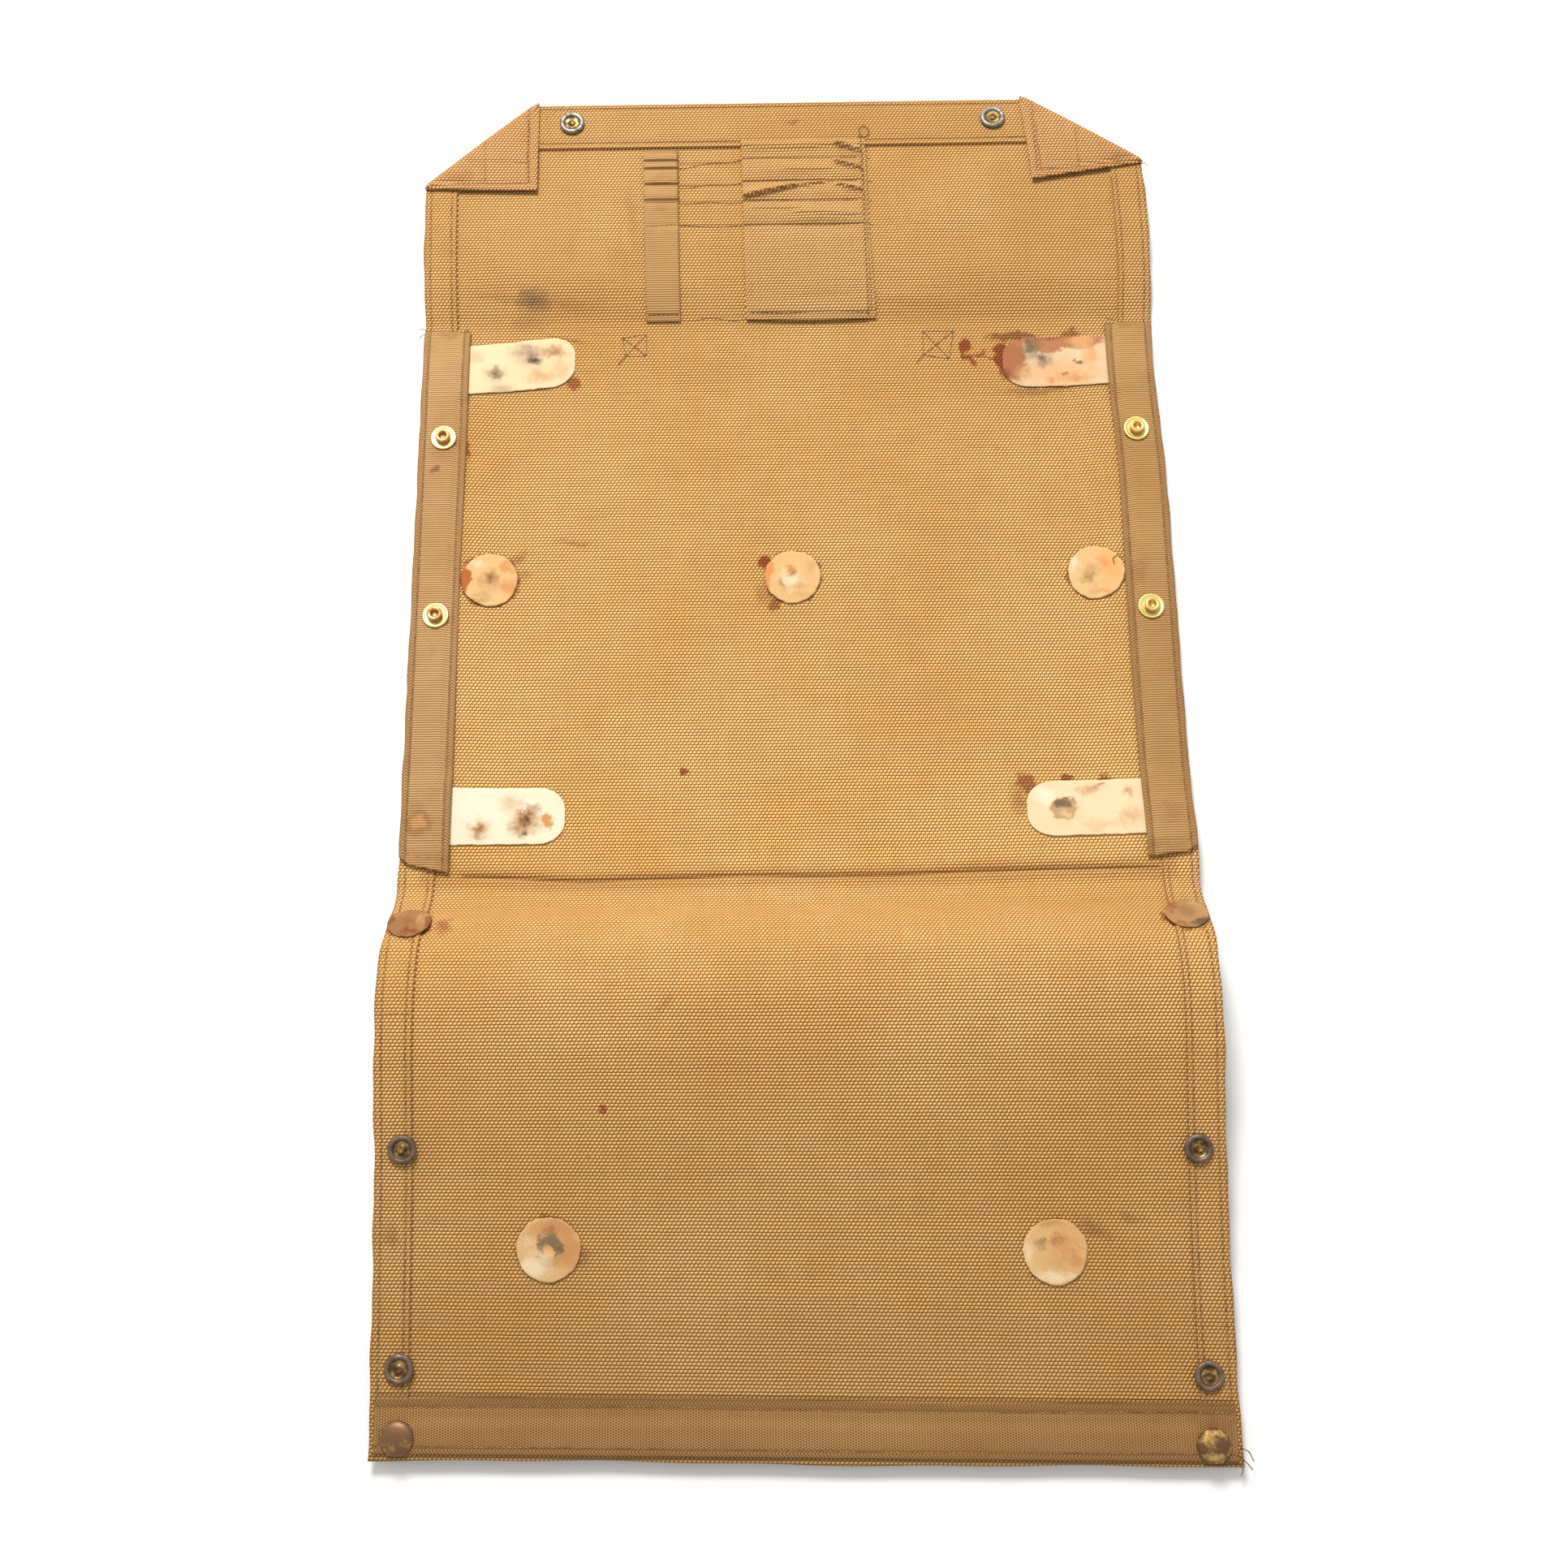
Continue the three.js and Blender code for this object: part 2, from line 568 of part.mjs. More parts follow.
// Cotton tabs that reach in from under the side tapes and end in a round
function tab(side, centre, tilt) {
  const outer = hemColumn - HEM_STEP - TAB_UNDER_TAPE + 1;
  const inner = HALF - TAB_REACH;
  const reach = outer - inner;
  const radius = TAB_WIDTH / 2;
  const shares = [0, 0.035, 0.1, 0.2, 0.35, 0.55, 0.75, 1];
  const across = 5;
  return layer(shares.length, across, (i, j) => {
    const share = side > 0 ? shares[i] : shares[shares.length - 1 - i];
    const distance = share * reach;
    const round = Math.min(distance / (0.6 * radius), 1);
    const half = radius * (0.35 + 0.65 * Math.sqrt(1 - (1 - round) ** 2));
    const along = centre - tilt * (1 - share) + half * (-1 + (2 * j) / (across - 1));
    const x = side * (inner + distance);
    return { x, along, low: CANVAS + GAP, high: CANVAS + GAP + TAB };
  });
}
add('tab_left_upper', tab(-1, tabUpper, TAB_TILT), cottonMaterial);
add('tab_right_upper', tab(1, tabUpper, 0), cottonMaterial);
add('tab_left_lower', tab(-1, tabLower, 0), cottonMaterial);
add('tab_right_lower', tab(1, tabLower, 0), cottonMaterial);

// Round cotton patches that cover the backs of fasteners, draped on the cloth
function patch(x, along, diameter, under) {
  const radius = diameter / 2;
  const rings = [0, 0.6 * radius, radius];
  const profile = [
    ...rings.map((r) => new THREE.Vector2(r, 0)),
    ...[...rings].reverse().map((r) => new THREE.Vector2(r, PATCH)),
  ];
  const disc = new THREE.LatheGeometry(profile, 16);
  const position = disc.getAttribute('position');
  const spot = new THREE.Vector3();
  for (let i = 0; i < position.count; i += 1) {
    spot.fromBufferAttribute(position, i);
    const placed = clothPoint(x + spot.x, along + spot.z, under + GAP + spot.y);
    position.setXYZ(i, placed.x, placed.y, placed.z);
  }
  return closed(disc);
}
const middlePatchAlong = BACK_START + MIDDLE_PATCH_DROP;
const middlePatchX = tapeInner - PATCH_DIAMETER / 2 - GAP;
const frontPatchAlong = FRONT_START + BACK_LENGTH - FLAP_LENGTH + FLAP_SOCKET_INSET;
const hemPatchX = HALF - HEM_PATCH_INSET;
const hemPatchAlong = FRONT_START + HEM_PATCH_DROP;
const patches = [
  { name: 'patch_back_left', x: -middlePatchX, along: middlePatchAlong, size: PATCH_DIAMETER },
  { name: 'patch_back_middle', x: 0, along: middlePatchAlong, size: PATCH_DIAMETER },
  { name: 'patch_back_right', x: middlePatchX, along: middlePatchAlong, size: PATCH_DIAMETER },
  { name: 'patch_front_left', x: -FLAP_SOCKET_X, along: frontPatchAlong, size: LOWER_PATCH_DIAMETER },
  { name: 'patch_front_right', x: FLAP_SOCKET_X, along: frontPatchAlong, size: LOWER_PATCH_DIAMETER },
  { name: 'patch_hem_left', x: -hemPatchX, along: hemPatchAlong, size: HEM_PATCH_DIAMETER },
  { name: 'patch_hem_right', x: hemPatchX, along: hemPatchAlong, size: HEM_PATCH_DIAMETER },
];
for (const item of patches) {
  const under = item.size === HEM_PATCH_DIAMETER ? HEM : CANVAS;
  add(item.name, patch(item.x, item.along, item.size, under), cottonMaterial);
}

// The pencil tape, sewn down in rows so that it stands up in loops between them
const pencilEnd = FLAP_LENGTH - PENCIL_TAPE_END;
const pencilRun = pencilEnd - PENCIL_TAPE_TOP;
const pencilRows = [
  { along: 0, rise: 0 },
  { along: 0.055, rise: 0.8 },
  { along: 0.11, rise: 0 },
  { along: 0.16, rise: 1 },
  { along: 0.2, rise: 0.9 },
  { along: 0.245, rise: 0 },
  { along: 0.29, rise: 0.7 },
  { along: 0.34, rise: 0 },
  { along: 0.4, rise: 0.5 },
  { along: 0.46, rise: 0 },
  { along: 0.6, rise: 0.25 },
  { along: 0.8, rise: 0.15 },
  { along: 0.93, rise: 0.2 },
  { along: 1, rise: 0.1 },
];
const pencilTape = layer(3, pencilRows.length, (i, j) => {
  const row = pencilRows[j];
  const x = -PENCIL_TAPE_X + (i - 1) * 0.5 * PENCIL_TAPE_WIDTH;
  const along = PENCIL_TAPE_TOP + row.along * pencilRun;
  const under = along < FLAP_HEM + HEM_STEP + 1.5 ? HEM : CANVAS;
  const low = under + GAP + PENCIL_LOOP * row.rise * (i === 1 ? 1 : 0.8);
  return { x, along, low, high: low + TAPE };
});
add('pencil_tape', pencilTape, tapeMaterial);

// The tool pocket, gathered between four sewn rows with one slanting pleat, and flat below
const pocketEnd = FLAP_LENGTH - POCKET_END;
const pocketRun = pocketEnd - POCKET_TOP;
const pocketRows = [
  { along: 0, rise: 0.15, pleat: 0 },
  { along: 0.04, rise: 0.5, pleat: 0 },
  { along: 0.075, rise: 0.4, pleat: 0 },
  { along: 0.1, rise: 0, pleat: 0 },
  { along: 0.15, rise: 0.7, pleat: 0.3 },
  { along: 0.2, rise: 0.8, pleat: 1 },
  { along: 0.235, rise: 0, pleat: 0.6 },
  { along: 0.27, rise: 0.6, pleat: 0.9 },
  { along: 0.31, rise: 0.7, pleat: 0.4 },
  { along: 0.35, rise: 0, pleat: 0 },
  { along: 0.4, rise: 0.5, pleat: 0 },
  { along: 0.45, rise: 0.55, pleat: 0 },
  { along: 0.49, rise: 0, pleat: 0 },
  { along: 0.6, rise: 0.35, pleat: 0 },
  { along: 0.75, rise: 0.4, pleat: 0 },
  { along: 0.9, rise: 0.3, pleat: 0 },
  { along: 1, rise: 0.25, pleat: 0 },
];
const pocketColumns = [
  { across: 0, rise: 0.75 },
  { across: 0.12, rise: 1 },
  { across: 0.3, rise: 0.8 },
  { across: 0.46, rise: 1 },
  { across: 0.62, rise: 0.8 },
  { across: 0.78, rise: 1 },
  { across: 0.9, rise: 0.7 },
  { across: 1, rise: 0 },
];
const pocket = layer(pocketColumns.length, pocketRows.length, (i, j) => {
  const column = pocketColumns[i];
  const row = pocketRows[j];
  const x = POCKET_X - POCKET_WIDTH / 2 + column.across * POCKET_WIDTH;
  const along = POCKET_TOP + row.along * pocketRun;
  const fold = Math.exp(-(((row.along - 0.265 + 0.11 * column.across) / 0.035) ** 2));
  const under = along < FLAP_HEM + HEM_STEP + 1.5 ? HEM : CANVAS;
  const puff = POCKET_PUFF * row.rise * column.rise + POCKET_PLEAT * fold * row.pleat;
  const low = under + GAP + puff;
  return { x, along, low, high: low + POCKET_CLOTH };
});
add('tool_pocket', pocket, pocketMaterial);

// Fasteners, each turned about the line square to the cloth through its own hole
function turned(rows) {
  const profile = rows.map((row) => new THREE.Vector2(row.r, row.out));
  return closed(new THREE.LatheGeometry(profile, SMOOTH));
}
function backAndPost(seat) {
  return [
    { r: 0, out: -GAP - BACK_PLATE },
    { r: 0.8 * BACK_PLATE_RADIUS, out: -GAP - BACK_PLATE },
    { r: BACK_PLATE_RADIUS, out: -GAP },
    { r: POST_RADIUS, out: -GAP },
    { r: POST_RADIUS, out: seat },
  ];
}
function studProfile(seat) {
  const shelf = seat + FLANGE;
  const head = seat + KNOB_HEIGHT;
  return turned([
    ...backAndPost(seat),
    { r: FLANGE_RADIUS, out: seat },
    { r: 0.94 * FLANGE_RADIUS, out: shelf },
    { r: 0.86 * KNOB_RADIUS, out: shelf },
    { r: KNOB_RADIUS, out: 0.45 * shelf + 0.55 * head },
    { r: 0.8 * KNOB_RADIUS, out: head },
    { r: KNOB_HOLE_RADIUS, out: head },
    { r: 0.9 * KNOB_HOLE_RADIUS, out: shelf },
    { r: 0, out: shelf },
  ]);
}
function socketProfile(seat) {
  const rim = seat + SOCKET_HEIGHT;
  const bowl = KNOB_RADIUS + BOWL_CLEARANCE;
  return turned([
    ...backAndPost(seat),
    { r: 0.93 * FLANGE_RADIUS, out: seat },
    { r: FLANGE_RADIUS, out: seat + 0.5 * SOCKET_HEIGHT },
    { r: 0.86 * FLANGE_RADIUS, out: rim },
    { r: bowl, out: seat + 0.8 * SOCKET_HEIGHT },
    { r: 0.85 * bowl, out: seat + 0.3 * SOCKET_HEIGHT },
    { r: CENTRE_POST_RADIUS, out: seat + 0.3 * SOCKET_HEIGHT },
    { r: 0.8 * CENTRE_POST_RADIUS, out: seat + 0.75 * SOCKET_HEIGHT },
    { r: 0, out: seat + 0.75 * SOCKET_HEIGHT },
  ]);
}
function capProfile(seat) {
  const depth = -GAP - CAP_STUD_DEPTH;
  return turned([
    { r: 0, out: depth },
    { r: 0.8 * KNOB_RADIUS, out: depth },
    { r: KNOB_RADIUS, out: 0.55 * depth - 0.45 * GAP },
    { r: 0.8 * KNOB_RADIUS, out: -GAP - FLANGE },
    { r: 0.9 * FLANGE_RADIUS, out: -GAP - FLANGE },
    { r: 0.9 * FLANGE_RADIUS, out: -GAP },
    { r: POST_RADIUS, out: -GAP },
    { r: POST_RADIUS, out: seat },
    { r: CAP_RADIUS, out: seat },
    { r: 0.96 * CAP_RADIUS, out: seat + 0.35 * CAP_HEIGHT },
    { r: 0.72 * CAP_RADIUS, out: seat + 0.75 * CAP_HEIGHT },
    { r: 0.38 * CAP_RADIUS, out: seat + 0.95 * CAP_HEIGHT },
    { r: 0, out: seat + CAP_HEIGHT },
  ]);
}
const tapeSeat = HEM + GAP + TAPE + GAP;
for (const item of tapeStuds) {
  const reach = FLANGE_RADIUS + GAP;
  const over = Math.max(overTab(item.along - reach), overTab(item.along), overTab(item.along + reach));
  const seat = tapeSeat + over * (TAB + GAP);
  add(item.name, studProfile(seat), brassMaterial, fastenerFrame(item.x, item.along));
}
for (const item of [...frontSockets, ...flapSockets]) {
  add(item.name, socketProfile(HEM + GAP), bronzeMaterial, fastenerFrame(item.x, item.along));
}
for (const item of caps) {
  add(item.name, capProfile(tapeSeat), bronzeMaterial, fastenerFrame(item.x, item.along));
}

// Stand the case on the table with the origin under the middle of its outline
group.updateMatrixWorld(true);
const outline = new THREE.Box3().setFromObject(group, true);
const centre = outline.getCenter(new THREE.Vector3());
group.position.set(-centre.x, -centre.y, -outline.min.z);
group.updateMatrixWorld(true);

export default group;
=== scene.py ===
# A canvas map case of the satchel kind, lying open on a table with its inside face up.
import math

import bmesh
import bpy
import numpy as np
from mathutils import Matrix, Vector


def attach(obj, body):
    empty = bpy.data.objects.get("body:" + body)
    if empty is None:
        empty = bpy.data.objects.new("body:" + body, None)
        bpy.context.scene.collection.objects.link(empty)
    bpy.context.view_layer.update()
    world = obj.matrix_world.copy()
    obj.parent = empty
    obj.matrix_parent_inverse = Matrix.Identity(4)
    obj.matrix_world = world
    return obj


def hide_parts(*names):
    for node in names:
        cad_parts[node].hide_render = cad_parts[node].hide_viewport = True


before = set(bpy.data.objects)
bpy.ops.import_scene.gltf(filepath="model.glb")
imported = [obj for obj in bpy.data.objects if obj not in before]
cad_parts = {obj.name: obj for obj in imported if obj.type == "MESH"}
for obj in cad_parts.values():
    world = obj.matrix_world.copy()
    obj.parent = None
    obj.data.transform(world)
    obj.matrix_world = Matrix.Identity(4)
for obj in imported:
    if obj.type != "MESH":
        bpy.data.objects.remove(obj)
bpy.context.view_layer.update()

# ---------------------------------------------------------------------------------------
# The canvas sheet. One length of coarse cotton duck makes the flap at the far end, the back
# in the middle and the front at the near end. All its edges are turned in once and sewn, and
# it lies as it was opened, with a low roll just past the lower crease.
# Places on the cloth are millimetres: x across, along from the flap's top edge, and out from
# the cloth's underside.
HALF = 190.5
FLAP, BACK, FRONT = 129.5, 298.0, 271.5
BACK_START, FRONT_START = FLAP, FLAP + BACK
SHEET_LENGTH = FRONT_START + FRONT
CANVAS, HEM, GAP = 1.2, 2.4, 0.3
MM = 0.001
SIDE_HEM, FLAP_HEM, FRONT_HEM = 17.0, 28.0, 15.0
# The hems' sewn rows, from the edge
SIDE_ROWS, FLAP_ROWS = (3.5, 14.5), (3.1, 25.0)
SIDES = (("left", -1), ("right", 1))
# The pressed crease between back and front leans a little and turns up toward its left end
CREASE, CREASE_SLOPE = FRONT_START - 3.4, 0.008
CREASE_TURN, CREASE_TURN_FROM, CREASE_TURN_TO = 2.4, 100, 160
CROWN, CREST, FRONT_LIFT = 9.5, 33.0, 4.8
MIDDLE_OF_CASE = (0.8086, 1.4786)
rest_of_flap = ((0, 0.88), (0.26, 1), (0.54, 0.97), (0.78, 0.74), (0.92, 0.4), (1, 0.12))
rest_of_back = ((0.05, 0.06), (0.13, 0), (0.5, 0), (0.9, 0))
rest_of_front = (
    (0, 0.04), (0.045, 0.2), (0.11, 0.6), (0.18, 0.9), (0.25, 1), (0.32, 0.95), (0.4, 0.8),
    (0.58, 0.48), (0.8, 0.26),
)
spine_at = np.array(
    [FLAP * a for a, _ in rest_of_flap]
    + [BACK_START + BACK * a for a, _ in rest_of_back]
    + [FRONT_START + FRONT * a for a, _ in rest_of_front]
    + [SHEET_LENGTH]
)
spine_up = np.array(
    [CROWN * share for _, share in rest_of_flap + rest_of_back]
    + [CREST * share for _, share in rest_of_front]
    + [FRONT_LIFT]
)
spine_slope = np.diff(spine_up) / np.diff(spine_at)
spine_lean = np.concatenate([spine_slope[:1], np.zeros(len(spine_at) - 2), spine_slope[-1:]])
for i in range(1, len(spine_at) - 1):
    if spine_slope[i - 1] * spine_slope[i] > 0:
        both = spine_slope[i - 1] + spine_slope[i]
        spine_lean[i] = 2 * spine_slope[i - 1] * spine_slope[i] / both


def height_along(along):
    """Height of the cloth's underside above the table, along its middle line."""
    i = np.clip(np.searchsorted(spine_at, along) - 1, 0, len(spine_at) - 2)
    span = spine_at[i + 1] - spine_at[i]
    t = np.clip((along - spine_at[i]) / span, 0, 1)
    pull = t * (1 - t) * ((1 - t) * spine_lean[i] - t * spine_lean[i + 1]) * span
    return spine_up[i] + (spine_up[i + 1] - spine_up[i]) * t * t * (3 - 2 * t) + pull


spine_steps = np.linspace(0, SHEET_LENGTH, 1401)
step = SHEET_LENGTH / 1400
spine_rise = np.diff(height_along(spine_steps))
spine_run = np.concatenate(
    [[0], np.cumsum(np.sqrt(np.maximum(step**2 - spine_rise**2, 0.04 * step**2)))]
)


def ramp(value, start, end):
    """Rises smoothly from 0 at start to 1 at end."""
    t = np.clip((value - start) / (end - start), 0, 1)
    return t * t * (3 - 2 * t)


# Soft dents and swells of the slack cloth: x, along, reach across, reach along, turn in
# degrees, and height
dents = (
    (-150, 92, 30, 16, 20, 0.9), (-100, 108, 46, 9, 4, 0.8), (92, 60, 44, 12, -38, 1.0),
    (128, 104, 40, 9, 10, 0.9), (60, 118, 60, 7, -4, 0.6), (-20, 150, 110, 10, 2, 0.5),
    (-95, 205, 60, 26, 30, 0.5), (85, 232, 70, 30, -25, 0.5), (-60, 330, 80, 34, 12, 0.5),
    (70, 372, 90, 24, -8, 0.6), (-120, 455, 50, 14, -12, 0.9), (40, 470, 90, 12, 5, 0.8),
    (-70, 540, 40, 60, 15, 1.0), (66, 560, 44, 70, -12, 0.9), (-20, 640, 90, 20, -6, 0.8),
    (130, 640, 36, 40, 20, 0.9), (-135, 610, 30, 50, -8, 0.8),
)


def dented(x, along):
    """Height of the dents and swells."""
    lift = 0
    for dx, da, wide, long, turn, height in dents:
        c, s = math.cos(math.radians(turn)), math.sin(math.radians(turn))
        u = ((x - dx) * c + (along - da) * s) / wide
        v = ((along - da) * c - (x - dx) * s) / long
        lift = lift + height * np.exp(-(u * u + v * v))
    return lift


def middle(x, along):
    """A place on the underside of the laid cloth, in millimetres."""
    late = ramp(along, FRONT_START + 0.1 * FRONT, FRONT_START + 0.9 * FRONT)
    skewed = along + 3.8 * late * x / HALF
    side = ramp(np.abs(x), HALF - 50, HALF - 23)
    head = ramp(along, BACK_START, BACK_START + 0.12 * BACK)
    foot = 1 - ramp(along, FRONT_START - 0.12 * BACK, FRONT_START)
    up = height_along(skewed) + 2.4 * side * np.minimum(head, foot)
    rise = ramp(along, FRONT_START + 0.12 * FRONT, FRONT_START + 0.4 * FRONT)
    settle = 1 - ramp(along, FRONT_START + 0.7 * FRONT, SHEET_LENGTH)
    up = up - 1.6 * rise * settle * x / HALF
    right = ramp(x, 0.3 * HALF, HALF)
    near_crease = np.abs(along - FRONT_START + 0.03 * BACK) / (0.16 * BACK)
    up = up + 7 * right * (1 - ramp(near_crease, 0, 1))
    pull = 1 - ramp(np.abs(along - BACK_START - 0.2 * FLAP) / (0.55 * FLAP), 0, 1)
    across = x - 2.5 * np.maximum(1 - along / FLAP, 0) - 2.4 * right * pull
    run = np.interp(skewed, spine_steps, spine_run)
    run = run + np.maximum(skewed - SHEET_LENGTH, 0) + np.minimum(skewed, 0)
    y = spine_run[-1] / 2 - run
    return np.stack([across + MIDDLE_OF_CASE[0], y + MIDDLE_OF_CASE[1], up + dented(x, along)], -1)


def laid(x, along, out):
    """Where a place of the cut cloth comes to lie, in metres."""
    x, along, out = np.broadcast_arrays(*(np.asarray(v, float) for v in (x, along, out)))
    across = middle(x + 1.5, along) - middle(x - 1.5, along)
    down = middle(x, along + 1.5) - middle(x, along - 1.5)
    normal = np.cross(down, across)
    normal /= np.linalg.norm(normal, axis=-1, keepdims=True)
    return (middle(x, along) + normal * out[..., None]) * MM


def left_edge(along):
    return -HALF + 60.5 * np.maximum(1 - along / 52.4, 0)


def right_edge(along):
    return HALF - 63 * np.maximum(1 - along / 42, 0)


def spaced(places, reach):
    """Stations through the given places, no further apart than reach."""
    filled = [places[0]]
    for place in places[1:]:
        count = max(1, math.ceil((place - filled[-1]) / reach - 1e-6))
        filled += list(np.linspace(filled[-1], place, count + 1)[1:])
    return np.array(filled)


def finished(shape, name):
    """Puts a modelled shape into the scene as a piece of its own."""
    mesh = bpy.data.meshes.new(name)
    shape.to_mesh(mesh)
    shape.free()
    piece = bpy.data.objects.new(name, mesh)
    bpy.context.scene.collection.objects.link(piece)
    return piece


def points_of(mesh):
    co = np.empty(len(mesh.vertices) * 3)
    mesh.vertices.foreach_get("co", co)
    return co.reshape(-1, 3)


def lay_down(mesh, x, along, out, sharp):
    """Moves a piece's points onto the laid cloth and keeps their places on the pattern."""
    mesh.vertices.foreach_set("co", laid(x, along, out).ravel())
    corner = np.empty(len(mesh.loops), int)
    mesh.loops.foreach_get("vertex_index", corner)
    flat = np.stack([x, along], -1)[corner] * MM
    mesh.uv_layers.new(name="Pattern").data.foreach_set("uv", flat.ravel())
    mesh.shade_smooth()
    mesh.set_sharp_from_angle(angle=math.radians(sharp))


def cut_and_lay(name, across, along, station):
    """A piece of cloth with two faces and a rim. station(i, j, face) gives x, along and out."""
    cloth = bmesh.new()
    bmesh.ops.create_grid(cloth, x_segments=across - 1, y_segments=along - 1, size=0.5)
    other = bmesh.ops.extrude_face_region(cloth, geom=cloth.faces[:], use_keep_orig=True)["geom"]
    points = [g for g in other if isinstance(g, bmesh.types.BMVert)]
    bmesh.ops.translate(cloth, vec=(0, 0, 1), verts=points)
    bmesh.ops.recalc_face_normals(cloth, faces=cloth.faces[:])
    piece = finished(cloth, name)
    co = points_of(piece.data)
    i = np.rint((co[:, 0] + 0.5) * (across - 1)).astype(int)
    j = np.rint((0.5 - co[:, 1]) * (along - 1)).astype(int)
    lay_down(piece.data, *station(i, j, co[:, 2] > 0.5), sharp=55)
    return piece


def rolled(distance, radius):
    """How full the cloth's thickness is at a distance from a folded edge."""
    t = np.clip(distance / radius, 0, 1)
    return np.sqrt(np.maximum(1 - (1 - t) ** 2, 0.02))


def sunk(distance, depth=0.3, width=0.7):
    """How far a row of stitches draws the cloth in."""
    return depth * np.exp(-((distance / width) ** 2))


rim = np.array(
    [0, 0.15, 0.5, 1.1, 2, 2.9, 3.5, 4.1, 6, 9, 12, 13.8, 14.5, 15.2, 16.3, 17, 17.3, 17.7]
)
inner_share = np.linspace(0, 1, 38)[1:]
flap_rim = [0, 0.15, 0.5, 1.1, 2, 2.6, 3.1, 3.7, 24, 24.5, 25, 25.5, 26.4, 27.6, 28, 28.3, 28.7]
front_rim = [SHEET_LENGTH - d for d in (15.5, 15, 2, 1.1, 0.5, 0.15, 0)]
crease_rows = list(np.arange(421, 436, 0.8))
sheet_rows = spaced(
    flap_rim + [110, 128, 140, 412] + crease_rows + [470, 520, 668] + front_rim, 3.6,
)
sheet_columns = 2 * len(rim) + 2 * len(inner_share) - 1


def canvas_station(i, j, top):
    along = sheet_rows[j]
    left, right = left_edge(along), right_edge(along)
    k = np.minimum(i, sheet_columns - 1 - i)
    from_edge = rim[np.minimum(k, len(rim) - 1)]
    share = np.concatenate([[0], inner_share])[np.clip(k - len(rim) + 1, 0, len(inner_share))]
    on_left = i <= (sheet_columns - 1) // 2
    start = np.where(on_left, left, right)
    side = np.where(on_left, 1, -1)
    inner = start + side * rim[-1]
    x = np.where(k < len(rim), start + side * from_edge, inner * (1 - share))
    from_side = np.where(k < len(rim), from_edge, 99)
    edge = np.minimum(from_side, np.minimum(along, SHEET_LENGTH - along))
    sides = 1 - ramp(from_side, SIDE_HEM, SIDE_HEM + 0.6)
    ends = np.maximum(
        1 - ramp(along, FLAP_HEM, FLAP_HEM + 0.6),
        ramp(along, SHEET_LENGTH - 15.6, SHEET_LENGTH - 15),
    )
    thick = CANVAS + (HEM - CANVAS) * np.maximum(sides, ends)
    half = 0.5 * thick * rolled(edge, 1.2)
    out = 0.5 * thick + np.where(top, half, -half)
    seams = np.where(k < len(rim), sum(sunk(from_edge - row) for row in SIDE_ROWS), 0)
    seams = np.maximum(seams, sum(sunk(along - row, 0.25) for row in FLAP_ROWS))
    turned_up = CREASE_TURN * ramp(-x, CREASE_TURN_FROM, CREASE_TURN_TO)
    waver = 0.5 * np.sin(x / 21) + 0.25 * np.sin(x / 8.3 + 1)
    fold = along - (CREASE - CREASE_SLOPE * x - turned_up + waver)
    crease = 1.0 * np.exp(-((fold / 1.1) ** 2)) - 0.5 * np.exp(-(((fold + 3.2) / 2) ** 2))
    crease = crease * (1 - ramp(np.abs(x), 148, 172))
    ripple = 0.3 * np.sin(along / 9 + on_left) + 0.2 * np.sin(along / 4.1 + 2 * on_left)
    x = x + ripple * (1 - ramp(edge, 0, 9))
    swell = 0.5 * np.sin(x / 37 + 1) + 0.25 * np.sin(x / 11)
    along = along + swell * ramp(along, SHEET_LENGTH - 15, SHEET_LENGTH)
    return x, along, out - np.where(top, seams, 0) - crease


canvas = cut_and_lay("canvas_sheet_cloth", sheet_columns, len(sheet_rows), canvas_station)


# Finishes are built from a few small nodes, and colours are as the eye sees them, 0 to 255
def seen(red, green, blue):
    """A colour as light, from how it is seen on a screen."""
    return tuple(((c / 255 + 0.055) / 1.055) ** 2.4 for c in (red, green, blue)) + (1,)


class Value:
    """A number or colour that a shader works out, which can be reckoned with."""

    def __init__(self, tree, socket):
        self.tree, self.socket = tree, socket

    def __add__(self, other):
        return maths("ADD", self, other)

    def __sub__(self, other):
        return maths("SUBTRACT", self, other)

    def __rsub__(self, other):
        return maths("SUBTRACT", other, self)

    def __mul__(self, other):
        return maths("MULTIPLY", self, other)

    def __truediv__(self, other):
        return maths("DIVIDE", self, other)

    def __pow__(self, other):
        return maths("POWER", self, other)

    def __abs__(self):
        return maths("ABSOLUTE", self)


class Values:
    """The outputs of a node, by name or number."""

    def __init__(self, tree, sockets):
        self.tree, self.sockets = tree, sockets

    def __getitem__(self, key):
        return Value(self.tree, self.sockets[key])


def tree_of(*values):
    return next(value.tree for value in values if isinstance(value, Value))


def join(value, socket):
    tree_of(value).links.new(value.socket, socket)


def fill(made, sockets):
    for name, value in sockets.items():
        if isinstance(value, Value):
            join(value, made.inputs[name])
        else:
            made.inputs[name].default_value = value


def node(tree, kind, sockets=None, **settings):
    made = tree.nodes.new("ShaderNode" + kind)
    for name, value in settings.items():
        setattr(made, name, value)
    fill(made, sockets or {})
    return Values(tree, made.outputs)


def maths(way, *values):
    return node(tree_of(*values), "Math", dict(enumerate(values)), operation=way)[0]


def vectors(way, *values):
    return node(tree_of(*values), "VectorMath", dict(enumerate(values)), operation=way)


def eased(value, start, end, low=0.0, high=1.0):
    """Slides smoothly from low to high as the value goes from start to end."""
    sockets = {0: value, 1: start, 2: end, 3: low, 4: high}
    return node(value.tree, "MapRange", sockets, interpolation_type="SMOOTHSTEP")[0]


def mixed(share, under, over, way="MIX"):
    sockets = {0: share, 6: under, 7: over}
    return node(tree_of(share, under, over), "Mix", sockets, data_type="RGBA", blend_type=way)[2]


